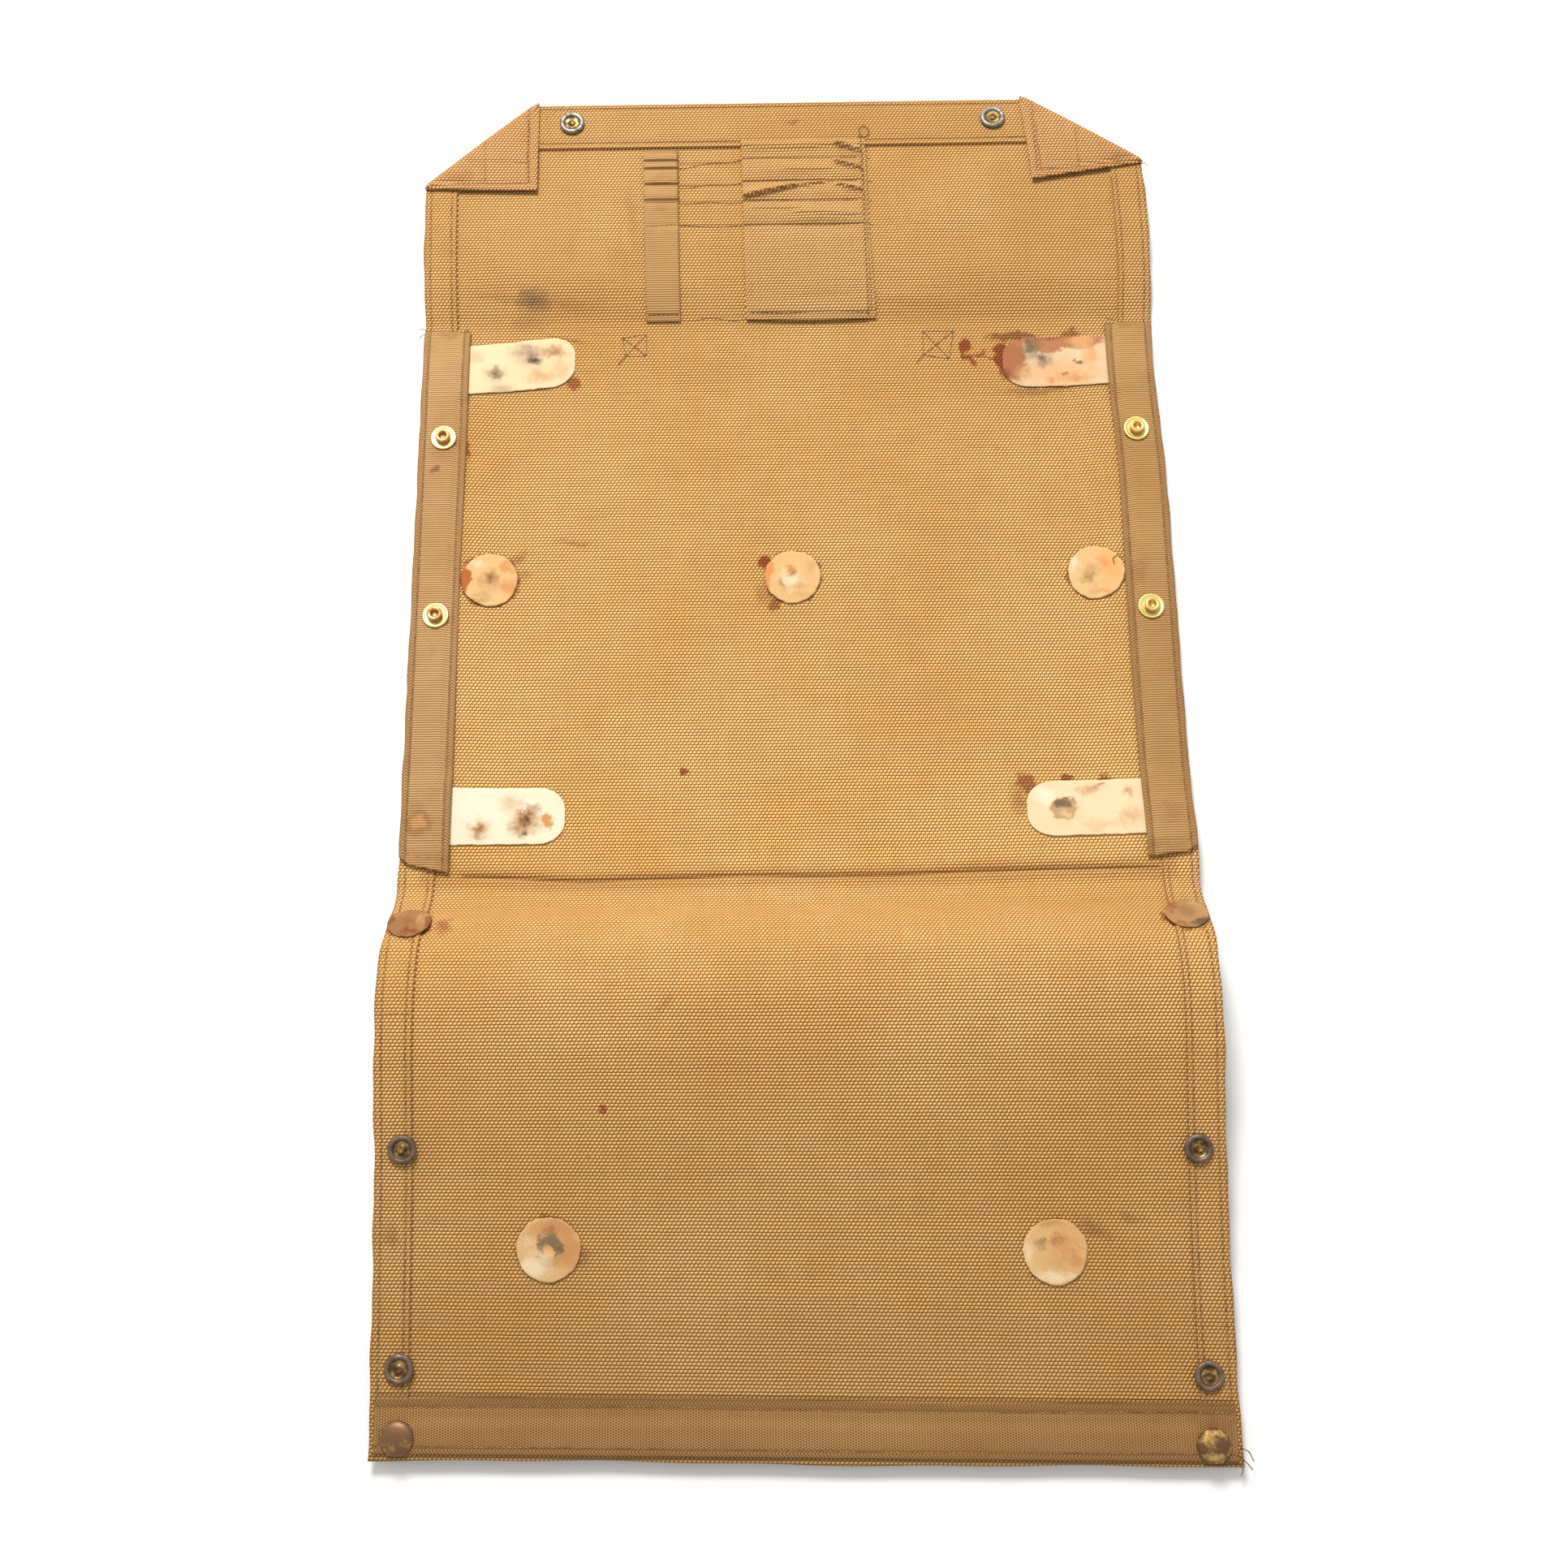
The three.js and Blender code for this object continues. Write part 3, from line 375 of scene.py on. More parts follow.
def noise(place, scale, detail=3.0, rough=0.5):
    sockets = {"Vector": place, "Scale": scale, "Detail": detail, "Roughness": rough}
    return node(place.tree, "TexNoise", sockets)


def speckle(place, scale, detail=3.0, rough=0.5):
    return noise(place, scale, detail, rough)["Fac"]


def shader_group(name, inputs, outputs):
    """A reusable pattern: its tree, what it is given and what it has to give."""
    tree = bpy.data.node_groups.new(name, "ShaderNodeTree")
    for label, kind, value in inputs:
        kind = "NodeSocket" + kind
        socket = tree.interface.new_socket(name=label, in_out="INPUT", socket_type=kind)
        if value is not None:
            socket.default_value = value
    for label in outputs:
        tree.interface.new_socket(name=label, in_out="OUTPUT", socket_type="NodeSocketFloat")
    given = tree.nodes.new("NodeGroupInput").outputs
    return tree, Values(tree, given), tree.nodes.new("NodeGroupOutput").inputs


def placed(group, sockets):
    tree = tree_of(*sockets.values())
    made = tree.nodes.new("ShaderNodeGroup")
    made.node_tree = group
    fill(made, sockets)
    return Values(tree, made.outputs)


# Plain weave: rows of oval yarn crossings, each row set half a crossing along
plain_weave, given, result = shader_group(
    "plain weave",
    [
        ("Pattern", "Vector", None), ("Crossing", "Float", 0.00195), ("Row", "Float", 0.00155),
        ("Wander", "Float", 0.0005),
    ],
    ["Height", "Gap", "Yarn"],
)
drift = noise(given["Pattern"], 60.0, 4.0)["Color"]
drift = vectors("SUBTRACT", drift, (0.5, 0.5, 0.5))[0]
drift = node(plain_weave, "VectorMath", {0: drift, 3: given["Wander"]}, operation="SCALE")[0]
spot = vectors("ADD", given["Pattern"], drift)[0]
spot = node(plain_weave, "SeparateXYZ", {0: spot})
rows = spot[1] / given["Row"]
row_count = maths("FLOOR", rows)
in_row = rows - row_count
half_on = maths("FRACT", row_count * 0.5)
in_turn = maths("FRACT", spot[0] / given["Crossing"] + half_on + in_row * 0.22)
oval = maths("SINE", in_turn * math.pi) ** 0.75 * maths("SINE", in_row * math.pi) ** 0.5
join(oval, result["Height"])
# The gap mask marks the hollows between yarn crossings, where the finishes paint shade.
join(eased(oval, 0.72, 0.16), result["Gap"])
weft = vectors("MULTIPLY", given["Pattern"], (45.0, 620.0, 1.0))[0]
warp = vectors("MULTIPLY", given["Pattern"], (500.0, 40.0, 1.0))[0]
join(speckle(weft, 1.0, 1.0) + speckle(warp, 1.0, 1.0), result["Yarn"])

# A patch: an oval of colour with a soft or ragged edge, on a place of the cloth, for stains and for
# painted shade
stain_and_shade_patch, given, result = shader_group(
    "stain_and_shade_patch",
    [
        ("Pattern", "Vector", None), ("Tear", "Float", 0.0), ("Centre", "Vector", None),
        ("Reach", "Vector", (0.01, 0.01, 1)), ("Turn", "Float", 0.0), ("Soft", "Float", 0.5),
        ("Ragged", "Float", 0.5),
    ],
    ["Mask"],
)
away = vectors("SUBTRACT", given["Pattern"], given["Centre"])[0]
sockets = {"Vector": away, "Angle": given["Turn"]}
away = node(stain_and_shade_patch, "VectorRotate", sockets, rotation_type="Z_AXIS")[0]
away = vectors("DIVIDE", away, given["Reach"])[0]
reach = vectors("LENGTH", away)[1] + given["Tear"] * given["Ragged"]
join(eased(reach, 1.0, 1.0 - given["Soft"]), result["Mask"])

# A sewn or pressed line in cloth: a mask that is full on the line and fades over its width
seam_line, given, result = shader_group(
    "seam line",
    [("Distance", "Float", 0.0), ("Width", "Float", 0.001)],
    ["Mask"],
)
join(eased(abs(given["Distance"]), given["Width"], 0.0), result["Mask"])

# Wear: wide pale and dark clouds, small smudges and fine dark flecks
wear, given, result = shader_group(
    "wear", [("Pattern", "Vector", None)], ["Clouds", "Smudges", "Flecks"]
)
join(speckle(given["Pattern"], 11.0, 3.0), result["Clouds"])
join(speckle(given["Pattern"], 75.0, 4.0, 0.6), result["Smudges"])
fleck = node(wear, "TexVoronoi", {"Vector": given["Pattern"], "Scale": 85.0})
join(eased(fleck["Distance"], 0.085, 0.03), result["Flecks"])


def new_finish(name, metal=0.0, rough=0.9):
    """A material and its shader, with the values that are the same all over."""
    material = bpy.data.materials.new(name)
    material.use_nodes = True
    shader = material.node_tree.nodes["Principled BSDF"]
    shader.inputs["Metallic"].default_value = metal
    shader.inputs["Roughness"].default_value = rough
    shader.inputs["Specular IOR Level"].default_value = 0.5 if metal else 0.22
    return material, material.node_tree, shader


def pattern_of(tree):
    return node(tree, "UVMap", uv_map="Pattern")[0]


def raised(shader, height, distance, strength=1.0):
    sockets = {"Height": height, "Distance": distance, "Strength": strength}
    join(node(height.tree, "Bump", sockets)[0], shader.inputs["Normal"])


def with_stains_and_shade(pattern, colour, marks):
    """Lays stains, and patches of painted shade, over a colour. Each is x, along, reach, reach,
    turn, softness, raggedness, colour and strength."""
    tear = (speckle(pattern, 330.0, 4.0, 0.62) - 0.5) * 1.2
    run = noise(pattern, 170.0, 3.0, 0.6)["Color"]
    run = vectors("SUBTRACT", run, (0.5, 0.5, 0.5))[0]
    pattern = vectors("MULTIPLY_ADD", run, (0.009, 0.009, 0), pattern)[0]
    for x, along, wide, long, turn, soft, ragged, tint, strength in marks:
        sockets = {"Pattern": pattern, "Tear": tear, "Centre": (x * MM, along * MM, 0)}
        sockets |= {"Reach": (wide * MM, long * MM, 1), "Turn": math.radians(turn)}
        sockets |= {"Soft": soft, "Ragged": ragged}
        colour = mixed(placed(stain_and_shade_patch, sockets)["Mask"] * strength, colour, tint)
    return colour


def graded_grey(value, stops):
    """A grey that eases through the given places and strengths."""
    made = value.tree.nodes.new("ShaderNodeValToRGB")
    fill(made, {0: value})
    made.color_ramp.interpolation = "EASE"
    steps = made.color_ramp.elements
    for place, strength in stops[1:-1]:
        steps.new(place).color = (strength, strength, strength, 1)
    for k, (place, strength) in ((0, stops[0]), (-1, stops[-1])):
        steps[k].position = place
        steps[k].color = (strength, strength, strength, 1)
    return Value(value.tree, made.outputs[0])


def aged(pattern, tone, clean=0.45, dirty=0.8, most=0.3):
    """Clouds and smudges over the cloth's own tones."""
    worn = placed(wear, {"Pattern": pattern})
    colour = mixed(eased(worn["Clouds"], 0.3, 0.7), tone[1], tone[0])
    return worn, mixed(eased(worn["Smudges"], clean, dirty, 0, most), colour, tone[2])


def ruled(measured, at, width):
    """A line across a measured direction, at a place in millimetres."""
    distance = measured - at * MM
    return placed(seam_line, {"Distance": distance, "Width": width * MM})["Mask"]


def duck_finish(
    name, tone, marks, lines, fade=((0, 1), (1, 1)), crossing=1.95, row=1.55, relief=0.0009,
    gap=0.9,
):
    """Plain-woven cotton with yarn, wear, stains, and painted shade in gaps, seams and creases."""
    material, tree, shader = new_finish(name)
    pattern = pattern_of(tree)
    place = node(tree, "SeparateXYZ", {0: pattern})
    weave = placed(plain_weave, {"Pattern": pattern, "Crossing": crossing * MM, "Row": row * MM})
    worn, colour = aged(pattern, tone)
    streak = eased(weave["Yarn"], 0.75, 1.25, 0.95, 1.04)
    streak = node(tree, "CombineColor", {0: streak, 1: streak, 2: streak})[0]
    colour = mixed(1.0, colour, streak, "MULTIPLY")
    # Painted shade, partly soiling, along the sheet's length.
    colour = mixed(1.0, colour, graded_grey(place[1] / (SHEET_LENGTH * MM), fade), "MULTIPLY")
    # Painted shade in the weave's gaps.
    colour = mixed(weave["Gap"] * gap, colour, tone[3])
    colour = mixed(worn["Flecks"] * 0.35, colour, seen(120, 76, 42))
    seams = 0.0
    sideways = abs(place[0])
    waver = maths("SINE", place[0] / 0.021) * 0.0005 + place[0] * -CREASE_SLOPE
    ends = -CREASE_TURN_FROM * MM, -CREASE_TURN_TO * MM
    waver = waver - eased(place[0], *ends, 0.0, CREASE_TURN * MM)
    for way, at, width, strength, start, end in lines:
        measured = {"x": sideways, "along": place[1], "crease": place[1] - waver}[way]
        mask = ruled(measured, at, width)
        other = place[1] if way == "x" else place[0]
        inside = maths("GREATER_THAN", other, start * MM) * maths("LESS_THAN", other, end * MM)
        seams = maths("MAXIMUM", seams, mask * strength * inside)
    # Painted shade along the sewn rows, hem edges and creases; the same lines also sink the bump.
    colour = mixed(seams, colour, seen(108, 72, 36))
    colour = with_stains_and_shade(pattern, colour, marks)
    join(colour, shader.inputs["Base Color"])
    height = weave["Height"] + worn["Smudges"] * 0.5
    raised(shader, height - seams * 0.8, relief)
    return material


# The last of these tones is painted shade for the weave's gaps.
CANVAS_TONES = (seen(236, 185, 117), seen(226, 171, 100), seen(209, 154, 84), seen(134, 90, 40))
# Painted shade, partly soiling: a multiplier on the colour along the sheet, darkest at the flap's
# top and the front edge, brightest just above the lower crease and a step darker just past it.
canvas_shade_and_soil = (
    (0, 0.66), (0.036, 0.66), (0.045, 0.72), (0.16, 0.73), (0.2, 0.77), (0.29, 0.83), (0.47, 0.91),
    (0.57, 1), (0.6, 0.99), (0.635, 0.88), (0.74, 0.88), (0.86, 0.76), (0.93, 0.7), (1, 0.66),
)
RUST, SOOT, BROWN, GLUE = seen(128, 58, 26), seen(96, 82, 62), seen(140, 96, 52), seen(112, 66, 36)
canvas_marks = (
    (-133, 115, 15, 9, 0, 1.0, 0.3, SOOT, 0.8), (-136, 127, 14, 8, 0, 1.0, 0.5, SOOT, 0.3),
    # The two brown bands on this line are painted shade where the flap's lower slope faces away
    # from the light.
    (-118, 118, 30, 6, -4, 1.0, 0.4, BROWN, 0.4), (-150, 113, 26, 4, -8, 1.0, 0.4, BROWN, 0.3),
    (-81, 68, 4, 26, 4, 1.0, 0.9, BROWN, 0.35), (6, 14, 7, 2.4, 4, 0.8, 1.0, GLUE, 0.5),
    # The wide brown band at x 60, along 118, is painted shade on the flap's lower slope.
    (60, 118, 60, 5, -3, 1.0, 0.5, BROWN, 0.25), (92, 143, 3.2, 6, -10, 0.5, 0.7, RUST, 0.95),
    (93, 149.5, 3.6, 3, 0, 0.5, 0.7, RUST, 0.9), (96, 153, 1.8, 3.4, 20, 0.6, 0.7, RUST, 0.8),
    (99.5, 147.5, 4.6, 1.7, 10, 0.6, 1.0, RUST, 0.8),
    (104, 149, 2.6, 1.4, -20, 0.6, 1.0, RUST, 0.8), (111, 149, 5, 10, 0, 0.4, 0.7, RUST, 0.95),
    (118, 138.6, 18, 3.4, -2, 0.5, 0.8, GLUE, 0.8), (112, 158, 3.4, 6, -20, 0.5, 0.8, RUST, 0.7),
    (128, 170, 28, 4, 2, 0.8, 1.0, BROWN, 0.6), (148, 138, 6, 5, 0, 0.6, 0.9, GLUE, 0.7),
    (-112, 162, 5, 5, 0, 0.5, 0.8, RUST, 0.75), (-118, 136, 14, 1.8, -12, 0.8, 1.0, GLUE, 0.5),
    (-166, 199, 2, 7, 10, 0.5, 0.9, RUST, 0.8), (-110, 251, 16, 2.6, -8, 1.0, 1.0, BROWN, 0.6),
    (-134, 268, 5, 4, 0, 1.0, 1.0, BROWN, 0.5), (-152, 271, 15.6, 15.4, 0, 0.12, 0.25, RUST, 0.8),
    (-139, 259, 8, 4, 30, 0.8, 0.9, BROWN, 0.6), (0, 271, 15.2, 15.0, 0, 0.1, 0.15, GLUE, 0.7),
    (-14, 263, 5, 5, 0, 0.5, 0.8, RUST, 0.95), (-9, 285, 4, 5, -30, 0.5, 0.9, RUST, 0.75),
    (-14, 280, 9, 10, 0, 1.0, 0.8, BROWN, 0.5), (152, 271, 15.2, 15.2, 0, 0.12, 0.2, GLUE, 0.75),
    (112, 380, 5, 8, 20, 0.6, 1.0, RUST, 0.75), (108, 388, 7, 12, 0, 1.0, 1.0, BROWN, 0.6),
    (132, 378, 4, 2.6, 0, 0.4, 0.7, RUST, 0.85), (150, 378, 5, 3, 0, 0.4, 0.7, RUST, 0.85),
    (-54, 372, 2.4, 3.4, 20, 0.5, 0.7, RUST, 0.9), (-180, 457, 12, 12, 0, 0.25, 0.5, RUST, 0.85),
    (180, 457, 12, 12, 0, 0.25, 0.5, RUST, 0.8), (-164, 458, 5, 8, 0, 0.7, 1.0, RUST, 0.6),
    (-88, 547, 1.5, 3.5, 0, 0.5, 0.6, RUST, 0.8),
    (-112.5, 609, 15.4, 15.6, 0, 0.15, 0.25, GLUE, 0.65),
    (112.5, 609, 15.2, 15.4, 0, 0.15, 0.25, GLUE, 0.7),
    (130, 599, 14, 4.6, -26, 1.0, 1.0, BROWN, 0.7), (146, 594, 12, 3, -14, 1.0, 1.0, BROWN, 0.45),
    (-97, 613, 5, 8, 0, 1.0, 1.0, BROWN, 0.6), (-182, 604, 5, 7, 0, 0.8, 0.9, BROWN, 0.5),
    (95, 200, 30, 22, 0, 1.0, 0.6, BROWN, 0.12), (96, 246, 9, 8, 0, 1.0, 0.6, SOOT, 0.14),
    (-102, 236, 11, 10, 0, 1.0, 0.7, SOOT, 0.13), (-60, 500, 3, 9, -40, 1.0, 0.8, BROWN, 0.5),
    (0, 694, 190, 5, 0, 1.0, 0.9, BROWN, 0.35), (182, 696, 14, 8, 0, 1.0, 0.9, GLUE, 0.45),
)
# Lines of painted shade along the sewn rows, the hem and cloth edges, the lower crease, the front
# tape's edge and the stitched rows beside the pocket.
# Each line is the way it is measured, its place, width, strength, and where it starts and ends
canvas_shade_lines = (
    ("x", 187.0, 1.0, 0.35, 44, 700), ("x", 176.0, 1.0, 0.35, 50, 700),
    ("x", 173.3, 0.8, 0.55, 50, 700), ("along", 3.1, 0.9, 0.3, -130, 130),
    ("along", 25.0, 0.9, 0.3, -130, 130), ("along", 28.5, 1.1, 0.65, -131, 131),
    ("crease", 424.1, 2.0, 0.65, -160, 172), ("crease", 424.4, 9.0, 0.26, -180, 180),
    ("x", 190.0, 1.4, 0.35, 40, 700), ("along", 671.8, 1.4, 0.55, -188, 188),
    ("along", 697.5, 2.5, 0.35, -190, 190), ("along", 37.8, 1.5, 0.45, -56, -22),
    ("along", 51.0, 1.5, 0.45, -56, -22), ("along", 61.2, 1.5, 0.4, -56, -22),
    ("along", 75.0, 1.3, 0.4, -56, -22),
)
canvas.data.materials.append(
    duck_finish("canvas", CANVAS_TONES, canvas_marks, canvas_shade_lines, canvas_shade_and_soil)
)
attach(canvas, "root")
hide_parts("canvas_sheet")

# ---------------------------------------------------------------------------------------
# The flap's turned-over corners. Each is the same canvas with its hemmed edges, folded along
# a diagonal so that its outer face shows, and held down by its own crease.
CORNER_STEPS, CORNER_CLOTH = 56, 1.15
# Places round the outer face of the fold: distance in from the diagonal, and out. The angles
# beside them lead from the outer face to the inner one
fold_round = (
    (1.7, 0.25), (0.3, 0.1), (-1.1, 0.5), (-1.9, 1.3), (-2.1, 2.4), (-1.7, 3.5), (-0.7, 4.4),
    (0.8, 4.8),
)
fold_turns = np.radians([-80, -60, -25, 0, 12, 25, 55, 85])
depth_shares = np.concatenate(
    [np.linspace(0.04, 0.9, 30), [0.925, 0.945, 0.96, 0.972, 0.982, 0.99, 0.996, 1]]
)


def turned_corner(name, side, width, drop, tip_inset, tip_drop):
    """One folded corner: width and drop are its legs, and the tip is where its corner lies."""
    start = np.array([side * (HALF - width), 0.0])
    end = np.array([side * HALF, drop])
    length = np.linalg.norm(end - start)
    run = (end - start) / length
    inward = np.array([-run[1] * side, run[0] * side])
    tip = np.array([side * (HALF - tip_inset), tip_drop])
    foot, depth = (tip - start) @ run, (tip - start) @ inward
    places = np.unique(np.concatenate([np.linspace(0.008, 0.992, CORNER_STEPS), [foot / length]]))
    rounds, flats = np.array(fold_round), len(depth_shares)
    edges = [(start, tip), (end, tip)]

    def station(i, j, top):
        u = places[i if side > 0 else len(places) - 1 - i]
        at = u * length
        deep_end = np.maximum(
            np.where(at < foot, at / foot, (length - at) / (length - foot)) * depth, 0.6,
        )
        taper = np.clip(np.sqrt(np.minimum(u, 1 - u) / 0.05), 0.25, 1)
        flat = depth_shares[np.clip(j - len(rounds), 0, flats - 1)]
        in_fold = j < len(rounds)
        k = np.clip(j, 0, len(rounds) - 1)
        deep = np.where(
            in_fold, rounds[k, 0] * taper, 0.8 * taper + (deep_end - 0.8 * taper) * flat,
        )
        out = np.where(in_fold, rounds[k, 1], 4.8 - 0.9 * ramp(flat, 0.1, 0.8))
        x = start[0] + run[0] * at + inward[0] * deep
        along = start[1] + run[1] * at + inward[1] * deep
        lines = []
        for near, far in edges:
            way = (far - near) / np.linalg.norm(far - near)
            lines.append(np.abs((x - near[0]) * way[1] - (along - near[1]) * way[0]))
        edge = np.minimum(*lines)
        swell = 0.55 * (1 - ramp(lines[0], 3.2, 5)) + 0.45 * (1 - ramp(lines[1], 2.6, 4))
        seams = sunk(lines[0] - 5, 0.35) + sunk(lines[0] - 28, 0.25)
        seams = seams + sunk(lines[1] - 4, 0.35) + sunk(lines[1] - 17, 0.2)
        seams = np.where(in_fold, 0, np.minimum(seams, 0.4))
        swell = np.where(in_fold, 0, np.minimum(swell, 0.6))
        full = np.where(in_fold, 1, rolled(edge, 0.9))
        inside = np.where(in_fold & ~top, CORNER_CLOTH * np.cos(fold_turns)[k], 0)
        low = out - CORNER_CLOTH * 0.5 - CORNER_CLOTH * 0.5 * full
        high = out - CORNER_CLOTH * 0.5 + CORNER_CLOTH * 0.5 * full + swell - seams
        folded = np.where(top, out, out - CORNER_CLOTH * np.sin(fold_turns)[k])
        out = np.where(in_fold, folded, np.where(top, high, low))
        return x + inward[0] * inside, along + inward[1] * inside, out

    return cut_and_lay(name, len(places), len(rounds) + flats, station)


# Painted shade along the corners' sewn rows.
corner_shade_lines = (
    ("x", 135.6, 1.0, 0.35, 4, 49), ("x", 158.5, 0.9, 0.3, 22, 49),
    ("along", 50.0, 1.0, 0.3, -178, -134), ("along", 37.0, 0.9, 0.25, -168, -134),
)
right_corner_shade_lines = (
    ("x", 134.0, 1.0, 0.35, 4, 46), ("x", 156.0, 0.9, 0.3, 22, 46),
    ("along", 45.5, 1.0, 0.3, 136, 182),
)
corners = []
for name, shape, lines in (
    ("flap_corner_left", (-1, 60.5, 52.4, 59.7, 54), corner_shade_lines),
    ("flap_corner_right", (1, 63, 42, 59.5, 51), right_corner_shade_lines),
):
    corner = turned_corner(name, *shape)
    tones = (seen(203, 155, 103), seen(193, 143, 91), seen(180, 130, 78), seen(132, 88, 44))
    mark_list = ((-172, 46, 12, 6, 0, 1.0, 0.8, BROWN, 0.35), (178, 40, 8, 5, 0, 1.0, 0.9, GLUE, 0.4))
    corner.data.materials.append(duck_finish(name, tones, mark_list, lines))
    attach(corner, "root")
    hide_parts("canvas_sheet")
    corners.append(corner)
for corner, size in zip(corners, ((0.0605, 0.0524), (0.063, 0.042))):
    size[0] * size[1] * 0.6

# ---------------------------------------------------------------------------------------
# The woven tapes. Ribbed cotton tape with a herringbone selvage along both edges, sewn over
# the side hems of the back and along the near edge of the front. The side tapes step down
# from the hem and ride over the outer ends of the cotton tabs.
TAPE, TAPE_WIDTH = 1.0, 23.8
TAPE_OUTER = HALF - 0.4
TAPE_INNER = TAPE_OUTER - TAPE_WIDTH
TAPE_TOP, TAPE_END = BACK_START + 3, FRONT_START - 10
# Sewn rows, from the tape's edge nearer the case's middle
TAPE_ROWS, FRONT_TAPE_ROWS = (3, 20.8), (4, 20.6)
TAB_UPPER, TAB_LOWER = BACK_START + 24, FRONT_START - 34.5
TAB = 1.0


def over_tab(along):
    """Full where a side tape rides over a cotton tab."""
    near = np.minimum(np.abs(along - TAB_UPPER), np.abs(along - TAB_LOWER))
    return 1 - ramp(near, 16.5, 21.5)


def side_doubled(x):
    """Full where the side hems double the canvas."""
    return ramp(np.abs(x), HALF - SIDE_HEM - 2.5, HALF - SIDE_HEM - 0.5)


def front_doubled(x, along):
    near_hem = SHEET_LENGTH - FRONT_HEM
    return np.maximum(side_doubled(x), ramp(along, near_hem - 2.5, near_hem - 0.5))


def end_lift(along):
    return 1.2 * ramp(along, TAPE_END - 14, TAPE_END)


def under_side_tape(x, along):
    """Height of a side tape's underside over the sheet's underside."""
    hemmed = side_doubled(x)
    low = CANVAS + GAP + (HEM - CANVAS) * hemmed
    return low + over_tab(along) * (TAB + GAP) * (1 - 0.6 * hemmed) + end_lift(along)


def from_rim(d, width, along, start, end):
    """Distance from the nearest edge of a strip."""
    return np.minimum(np.minimum(d, width - d), np.minimum(along - start, end - along))


def with_rims(start, inner, end):
    """Stations with two close ones at each end, for a rounded edge."""
    return [start, start + 0.12, start + 0.4, *inner, end - 0.4, end - 0.12, end]


tape_across = np.array(
    [
        0, 0.12, 0.4, 0.8, 1.5, 2.4, 3, 3.6, 4.3, 5, 5.8, 7, 9, 11, 13, 15, 17, 19.4, 20.2, 20.8,
        21.4, 22.3, 23, 23.4, 23.68, 23.8,
    ]
)
inner_rows = [TAPE_TOP + 1, TAPE_TOP + 7, 170, 398, TAPE_END - 5.2, TAPE_END - 4, TAPE_END - 1]
tape_rows = spaced(with_rims(TAPE_TOP, inner_rows, TAPE_END), 2.6)


def end_pull(side, d, along):
    """How far the near end of a side tape is drawn out of square, with its outer corner rounded."""
    inner, outer = (3.6, -1.6) if side < 0 else (0.8, -1.0)
    pull = inner + (outer - inner) * d / TAPE_WIDTH - 2.6 * ramp(d, 16, TAPE_WIDTH) ** 2
    return pull * ramp(along, TAPE_END - 26, TAPE_END)


def side_tape(name, side):
    def station(i, j, top):
        along = tape_rows[j]
        k = i if side > 0 else len(tape_across) - 1 - i
        d = tape_across[k]
        x = TAPE_INNER + d
        low = under_side_tape(x, along)
        half = 0.5 * TAPE * rolled(from_rim(d, TAPE_WIDTH, along, TAPE_TOP, TAPE_END), 0.5)
        seam = sum(sunk(d - row, 0.25, 0.6) for row in TAPE_ROWS)
        seam = seam + sunk(along - TAPE_END + 5, 0.2, 0.6)
        ripple = 0.12 * np.sin(along / 2.1 + 1.3 * side) * np.exp(-((d - 3) / 2.5) ** 2)
        out = low + 0.5 * TAPE + np.where(top, half - seam, -half) + np.maximum(ripple, 0)
        waver = 0.35 * np.sin(along / 31 + side) * (1 - d / TAPE_WIDTH)
        waver = waver + 0.2 * np.sin(along / 5.3) * ramp(d, 21, TAPE_WIDTH)
        return side * (x + waver), along + end_pull(side, d, along), out

    return cut_and_lay(name, len(tape_across), len(tape_rows), station)


# Ribs straight across the tape with small dashes between them, and chevrons in the selvages
tape_weave, given, result = shader_group(
    "tape weave",
    [("Across", "Float", 0.0), ("Along", "Float", 0.0), ("Half Width", "Float", 0.0119)],
    ["Height", "Gap", "Selvage"],
)
spread = abs(given["Across"])
in_selvage = eased(given["Half Width"] - spread, 0.0037, 0.0033)
ribs = maths("SINE", given["Along"] * (math.tau / 0.0012))
dashes = maths("SINE", given["Across"] * (math.tau / 0.0011))
shifted = dashes * maths("SINE", given["Along"] * (math.pi / 0.0012))
body = ribs * 0.45 + shifted * 0.6
bent = abs(given["Half Width"] - spread - 0.0018)
chevron = maths("SINE", (given["Along"] - bent) * (math.tau / 0.0016))
woven = node(tape_weave, "Mix", {0: in_selvage, 2: body, 3: chevron})[0]
join(eased(woven, -0.9, 0.8), result["Height"])
# The gap mask marks the hollows between ribs, where the finish paints shade.
join(eased(woven, 0.2, -0.9), result["Gap"])
join(in_selvage, result["Selvage"])


def webbing_finish(
    name, tone, across_at, marks, lines, lengthwise="along", half_width=11.9, gap=0.35,
):
    """Ribbed tape; its middle line lies at across_at."""
    material, tree, shader = new_finish(name)
    pattern = pattern_of(tree)
    place = node(tree, "SeparateXYZ", {0: pattern})
    if lengthwise == "along":
        across = abs(place[0]) - across_at * MM
        down = place[1]
    else:
        across = place[1] - across_at * MM
        down = place[0]
    weave = placed(tape_weave, {"Across": across, "Along": down, "Half Width": half_width * MM})
    worn, colour = aged(pattern, tone, 0.42, 0.75, 0.35)
    # Painted shade in the tape's gaps between ribs.
    colour = mixed(weave["Gap"] * gap, colour, tone[3])
    colour = mixed(weave["Selvage"] * 0.25, colour, tone[3])
    # Painted shade along the tape's sewn rows and edges.
    for at, width, strength in lines:
        mask = ruled(across, at, width)
        colour = mixed(mask * strength, colour, seen(112, 78, 42))
    colour = with_stains_and_shade(pattern, colour, marks)
    join(colour, shader.inputs["Base Color"])
    height = weave["Height"] + worn["Smudges"] * 0.6
    raised(shader, height, 0.0007)
    return material


